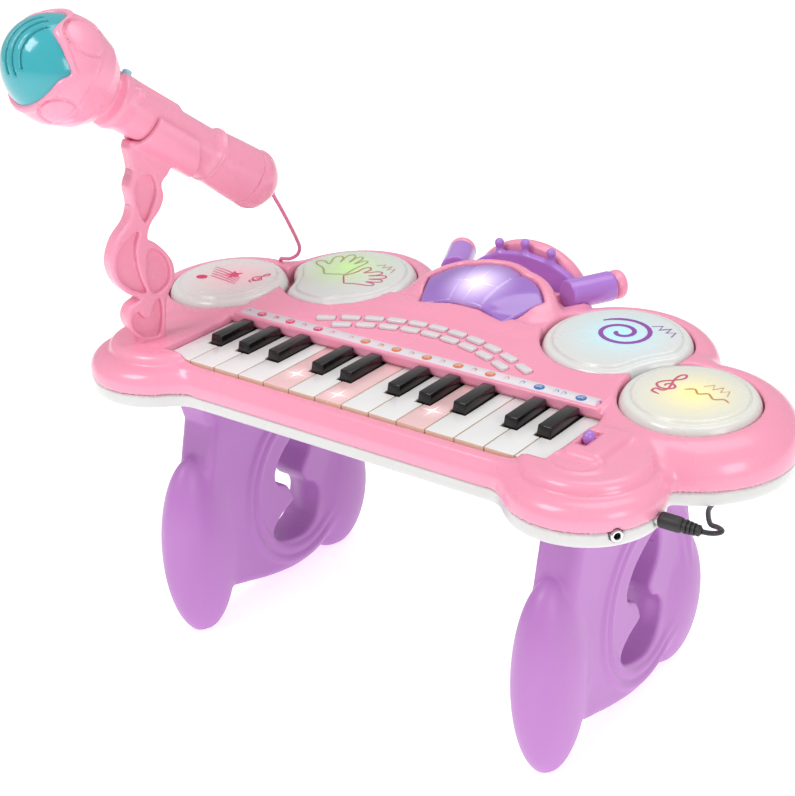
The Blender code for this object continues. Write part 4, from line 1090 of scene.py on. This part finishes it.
def make_buttons():
    rows = (("rear_sound_buttons", button_places(11, 75.0, 100.0, 19.0)),
            ("front_sound_buttons", button_places(9, 60.0, 91.5, 13.5)))
    for node, places in rows:
        bm = bmesh.new()
        for x, y, turn in places:
            top = panel_height(y) + 1.5
            size = Matrix.Diagonal((*BUTTON, 5.0, 1))
            place = Matrix.Translation((x, y, top - 2.5)) @ Matrix.Rotation(turn, 4, "Z") @ size
            bmesh.ops.create_cube(bm, size=1.0, matrix=place)
        uprights = [e for e in bm.edges if edge_rise(e) > 2]
        bmesh.ops.bevel(bm, geom=uprights, offset=1.6, segments=4, profile=0.5, affect="EDGES")
        tops = [e for e in bm.edges if e.verts[0].co.z > 212.5 and edge_rise(e) < 0.5
                and len(e.link_faces) == 2 and abs(e.link_faces[0].normal.dot(e.link_faces[1].normal)) < 0.5]
        bmesh.ops.bevel(bm, geom=tops, offset=0.6, segments=3, profile=0.5, affect="EDGES")
        caps = from_bmesh(bm, node + "_caps", BODY_PLACE)
        dress(caps, "button_plastic", node, "button_white", node)
        # painted shade: a flat darker-pink sheet round each button stands for the shadowed slot
        verts, faces = [], []
        for x, y, turn in places:
            half_x, half_y = (side / 2 + BUTTON_GAP for side in BUTTON)
            c, s = math.cos(turn), math.sin(turn)
            base = len(verts)
            for k in range(24):
                t = 2 * math.pi * k / 24
                u = half_x * np.sign(math.cos(t)) * abs(math.cos(t)) ** 0.35
                v = half_y * np.sign(math.sin(t)) * abs(math.sin(t)) ** 0.5
                px, py = x + u * c - v * s, y + u * s + v * c
                verts.append((px, py, panel_height(py) + 0.06))
            faces.append(tuple(range(base, base + 24)))
        slot_shade_sheet = mesh_object(node + "_painted_slot_shade", verts, faces, smooth=False)
        dress(slot_shade_sheet, "slot_shade", "root", "case_pink")


LABEL_Y = 67.6


def make_label_and_switch():
    slope = Matrix.Rotation(math.atan(PANEL_SLOPE), 4, "X")
    place = BODY_PLACE @ (Matrix.Translation((0, LABEL_Y, panel_height(LABEL_Y))) @ slope)
    outline = [(-133, -4.1), (133, -4.1), (133, 4.1), (-133, 4.1)]
    label = prism_mesh("label_film", outline, -0.8, 0.15, 0.1, 1, place)
    dress(label, "label_film", "root", "label_white", "label_strip")
    marks = {"print_pink": [-118, -94, -71], "print_orange": [-33, -9, 14, 37, 60], "print_blue": [94, 122]}
    for name, xs in marks.items():
        strokes = []
        for x in xs:
            strokes.append((arc(x, 0, 3.4, 0, 345, 24, 0.85), 0, True))
            for side in (-1, 1):
                cx = x + 11.5 * side
                strokes.append(([(cx - 1.2, -1.6), (cx - 1.2, 1.2)], 0.5, False))
                strokes.append((arc(cx - 0.2, 0.4, 1.4, 160, -60, 8), 0.5, False))
        decal("label_" + name, strokes, lambda u, v: 0.1, place, name, "root", "label_white")
        light = []
        for x in xs:
            light.append((arc(x, 0, 2.3, 30, 200, 10, 0.8), 0.5, False))
            light.append((curved([(x - 1.6, -0.9), (x, 0.5), (x + 1.7, -0.4)]), 0.6, False))
        decal("label_light_" + name, light, lambda u, v: 0.16, place, "label_film", "root", "label_white")

    def knob_field(x, y, z):
        ball = ellipsoid(x, y, z, (150.6, 27.5, 213.2), (3.4, 4.2, 4.2))
        return smooth_max(ball, 209.7 - z, 0.5)
    knob = moulded("switch_knob", knob_field, (147, 23, 209.5), (154.2, 32, 217.6), 0.5)
    dress(knob, "crown_plastic", "power_switch", "crown_purple", "power_switch")


# ---- sockets, plugs and cords
def tube_faces(rings, sides):
    """Quads joining each ring of vertices to the next."""
    faces = []
    for start in range(0, (rings - 1) * sides, sides):
        for k in range(sides):
            after = (k + 1) % sides
            faces.append((start + k, start + after, start + sides + after, start + sides + k))
    return faces


def turned(name, profile, place, sides=40, smooth_angle=40):
    """Surface turned about local Z from (radius, height) points."""
    verts = []
    for r, h in profile:
        for k in range(sides):
            t = 2 * math.pi * k / sides
            verts.append((r * math.cos(t), r * math.sin(t), h))
    obj = mesh_object(name, verts, tube_faces(len(profile), sides), place)
    bm = bmesh.new()
    bm.from_mesh(obj.data)
    bmesh.ops.remove_doubles(bm, verts=bm.verts, dist=1e-6)
    bmesh.ops.recalc_face_normals(bm, faces=bm.faces)
    bm.to_mesh(obj.data)
    bm.free()
    obj.data.shade_smooth()
    obj.data.set_sharp_from_angle(angle=math.radians(smooth_angle))
    return obj


def facing(origin, way):
    """Frame with local Z along `way`."""
    turn = Vector(way).to_track_quat("Z", "Y").to_matrix().to_4x4()
    return BODY_PLACE @ Matrix.Translation(origin) @ turn


AUX_D, MIC_CORD_D = 2.8, 2.5
PLUG_X, PLUG_END_X = LOBE["x"] + 46.2, 227.5
AUX_LOOP = [(x, y, 186.0 - 2.6 * (i / 9) ** 2) for i, (x, y) in enumerate(arc(227.8, 18.9, 6.9, -90, 35, 10))]
AUX_ROUTE = [*AUX_LOOP, (231.2, 26.0, 182.2), (227.2, 30.6, 179.9), (219.5, 38.4, 176.0), (209, 58, 171.5),
             (200, 85, 163), (188, 112, 154), (173, 142, 142), (157, 163, 128), (138, 173, 110),
             (119, 172, 84), (105, 166, 54), (95, 158, 26), (88, 150, 9), (80.5, 140, 2.6), (74, 130, 1.5),
             (70.2, 119, 1.5)]
COIL_MIDDLE, COIL_R = (86.0, 104.0), 16.5
END_PLUG_AT = (112.0, 84.0, 4.35)
END_PLUG_LENGTH = 36.2
MIC_ROUTE = [(-134.2, 101.5, 286.7), (-135.4, 107.6, 278.5), (-137.0, 115.6, 267.6), (-139.4, 125.4, 254.0),
             (-142.7, 135.6, 240.2), (-145.5, 141.0, 232.2), (-149.4, 142.6, 226.2), (-155, 141.6, 222.6),
             (-161.5, 142.0, 221.2), (-166.6, 144.8, 219.2), (-168.8, 147.3, 214.5), (-169, 147.5, 207.5)]


def coil_route():
    """Turns on the floor and as many on top of them, from the cord's end to the plug."""
    out = []
    start, turns, count = math.radians(165), 3.32, 150
    for i in range(count):
        done = turns * i / (count - 1)
        angle = start + done * 2 * math.pi
        layer = min(1.0, max(0.0, (done - 1.75) / 0.3))
        inward = min(1.0, max(0.0, (done - 0.8) / 0.3)) - min(1.0, max(0.0, (done - 2.6) / 0.3))
        r = COIL_R + AUX_D * (0.49 - inward)
        out.append(Vector((COIL_MIDDLE[0] + r * math.cos(angle), COIL_MIDDLE[1] + r * math.sin(angle),
                           1.45 + 2.85 * layer)))
    return out


def coil_to_plug():
    """The lead dips to the floor between the coil and the plug, in two opposite arcs."""
    plan = arc(90.4, 79.0, 7.5, 94, 40, 7) + arc(104.7, 84.0, 7.3, -142, 0, 20)
    last = len(plan) - 1
    heights = [2.93 + 1.42 * math.cos(2 * math.pi * i / last) for i in range(last + 1)]
    return [Vector((x, y, z)) for (x, y), z in zip(plan, heights)]


def sweep(name, route, radius, taper=None, sides=14):
    """Round tube along a route in millimetres, built ring by ring."""
    points = [Vector(p) for p in route]
    verts = []
    side = Vector((0, 0, 1))
    for i, p in enumerate(points):
        way = (points[min(i + 1, len(points) - 1)] - points[max(i - 1, 0)]).normalized()
        side = (side - way * side.dot(way))
        if side.length < 1e-3:
            side = Vector((1, 0, 0)) - way * way.x
        side.normalize()
        other = way.cross(side)
        r = radius if taper is None else taper(i / (len(points) - 1))
        for k in range(sides):
            t = 2 * math.pi * k / sides
            verts.append(p + (side * math.cos(t) + other * math.sin(t)) * r)
    faces = tube_faces(len(points), sides)
    faces.append(tuple(range(sides))[::-1])
    faces.append(tuple(range((len(points) - 1) * sides, len(points) * sides)))
    return mesh_object(name, verts, faces)


def make_sockets():
    for node, way in (("headphone_socket", FRONT_WAY), ("audio_in_socket", SIDE_WAY)):
        profile = [(1.9, 34), (1.9, 46.2), (2.3, 46.6), (3.1, 46.6), (3.55, 46.1), (3.6, 44), (3.6, 34)]
        ring = turned(node + "_ring", profile, facing(SOCKET_MIDDLE, way))
        dress(ring, "bright_metal", "root", "metal", node)


def make_aux_lead():
    plug_profile = [(0, -10.5), (0.9, -10.3), (1.7, -9), (1.75, -0.2), (3.7, 0), (4.3, 0.5), (4.5, 1.4)]
    length = PLUG_END_X - PLUG_X
    plug_profile += [(4.4, length - 13), (4.1, length - 11.6)]
    for i in range(4):
        z = length - 10.6 + 2.35 * i
        r = 3.9 - 0.25 * i
        plug_profile += [(r - 0.9, z), (r - 0.9, z + 0.7), (r, z + 0.9), (r, z + 2.0), (r - 0.3, z + 2.3)]
    plug_profile += [(2.0, length - 0.6), (1.5, length), (0, length)]
    plug_place = facing((PLUG_X, LOBE["y"], SOCKET_MIDDLE.z), (1, 0, 0))
    plug = turned("aux_plug_shell", plug_profile, plug_place, 32, 30)
    dress(plug, "black_rubber", "root", "rubber_black", "aux_plug")
    route = curved(AUX_ROUTE, 7) + coil_route() + coil_to_plug()
    lead = sweep("aux_lead", route, AUX_D / 2)
    dress(lead, "black_rubber", "root", "rubber_black", "aux_cord", "aux_coil")
    end_profile = [(0, 0), (0.9, 0.1), (1.75, 1.5), (1.75, 13), (3.6, 13.1), (4.3, 14), (4.3, 25),
                   (3.6, 26.5), (3.4, 28), (2.4, 34), (1.5, END_PLUG_LENGTH), (0, END_PLUG_LENGTH)]
    tip = Vector(END_PLUG_AT) + Vector((0, END_PLUG_LENGTH, 0))
    end = turned("aux_end_shell", end_profile, facing(tip, (0, -1, 0)), 28, 30)
    dress(end, "black_rubber", "root", "rubber_black", "aux_end_plug")
    loop = []
    for k in range(24):
        t = 2 * math.pi * k / 24
        height = max(0.5, 2.95 + 3.2 * math.sin(t))
        loop.append((COIL_MIDDLE[0] - COIL_R + 4.1 * math.cos(t), COIL_MIDDLE[1], height))
    loop.append(loop[0])
    band = sweep("coil_tie", loop, 0.5, sides=8)
    dress(band, "black_rubber", "root", "rubber_black")


def make_mic_cord():
    route = curved(MIC_ROUTE, 6)
    lead = sweep("mic_lead", route, MIC_CORD_D / 2)
    relief_way = (route[5] - route[0]).normalized()
    profile = [(2.9, -1.5), (2.9, 0.5), (2.3, 1.0), (2.2, 2.6), (1.5, 5.5), (1.25, 6.0)]
    relief = turned("mic_lead_relief", profile, facing(route[0], relief_way), 24)
    dress(relief, "pink_cord", "microphone", "cord_pink")
    paint(lead, "pink_cord")
    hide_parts("mic_cord")
    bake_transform(lead)


# ---- pieces carried over from the CAD
def dress_hidden_nodes():
    # the key bed, seen in the gaps between the keys, takes the near-black pink of painted shade
    looks = {"white_plastic": ["battery_cover"], "painted_gap_shade": ["key_bed"],
             "inner_plastic": ["battery_box", "key_contact_strip", "circuit_board", "speaker"],
             "bright_metal": ["case_screw_1", "case_screw_2"]}
    for look, nodes in looks.items():
        for node in nodes:
            paint(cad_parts[node], look)


# ---- floor, light and camera
FLOOR_HALF, FLOOR_GLOW, WORLD_STRENGTH = 6.0, 0.58, 0.46
LAMPS_AIM = (0, 0, 0.2)


def make_stage():
    bm = bmesh.new()
    bmesh.ops.create_grid(bm, x_segments=2, y_segments=2, size=FLOOR_HALF)
    floor = from_bmesh(bm, "floor")
    paper = plastic("floor_paper", (0.92, 0.92, 0.92), (0.91, 0.91, 0.91), 0.7, 0.03, 0.0, 0.0)
    paper.look(Emission_Color=rgb(1.0, 1.0, 1.0), Emission_Strength=FLOOR_GLOW)
    paint(floor, paper.material)
    world_light = bpy.data.worlds.new("studio")
    bpy.context.scene.world = world_light
    world_light.use_nodes = True
    back = world_light.node_tree.nodes["Background"]
    back.inputs["Color"].default_value = rgb(1.0, 1.0, 1.0)
    back.inputs["Strength"].default_value = WORLD_STRENGTH
    lamps = [("key_light", (-0.6, -1.3, 1.9), 0.9, 19.0), ("side_light", (1.9, -0.5, 1.0), 0.8, 9.5),
             ("top_light", (0.2, 0.5, 1.9), 1.2, 10.0)]
    for name, place, size, power in lamps:
        lamp = bpy.data.lights.new(name, "AREA")
        lamp.energy = power
        lamp.size = size
        holder = add_object(name, lamp)
        holder.location = place
        holder.rotation_mode = "QUATERNION"
        holder.rotation_quaternion = (Vector(LAMPS_AIM) - Vector(place)).to_track_quat("-Z", "Y")


CAMERA_TURNS = (37.095, 24.809, -1.779)      # azimuth, elevation and roll, in degrees
CAMERA_AT, CAMERA_LENS = (541.1, -660.4, 602.9), 72.96


def make_camera():
    azimuth, elevation, roll = (math.radians(v) for v in CAMERA_TURNS)
    flat, climb = math.cos(elevation), math.sin(elevation)
    back = Vector((math.sin(azimuth) * flat, -math.cos(azimuth) * flat, climb))
    right = Vector((math.cos(azimuth), math.sin(azimuth), 0))
    up = back.cross(right)
    rolled_right = math.cos(roll) * right + math.sin(roll) * up
    rolled_up = -math.sin(roll) * right + math.cos(roll) * up
    matrix = Matrix((rolled_right, rolled_up, back)).transposed().to_4x4()
    matrix.translation = BODY_PLACE @ Vector(CAMERA_AT) * MM
    data = bpy.data.cameras.new("camera")
    data.sensor_fit = "HORIZONTAL"
    data.sensor_width = 36.0
    data.lens = CAMERA_LENS
    data.clip_start = 0.01
    camera = add_object("camera", data)
    camera.matrix_world = matrix
    bpy.context.scene.camera = camera
    bpy.context.scene.view_settings.view_transform = "Standard"


make_camera()
make_case()
make_window()
make_crown()
make_legs()
make_microphone()
make_keys()
make_pads()
make_buttons()
make_label_and_switch()
make_sockets()
make_aux_lead()
make_mic_cord()
dress_hidden_nodes()
make_stage()
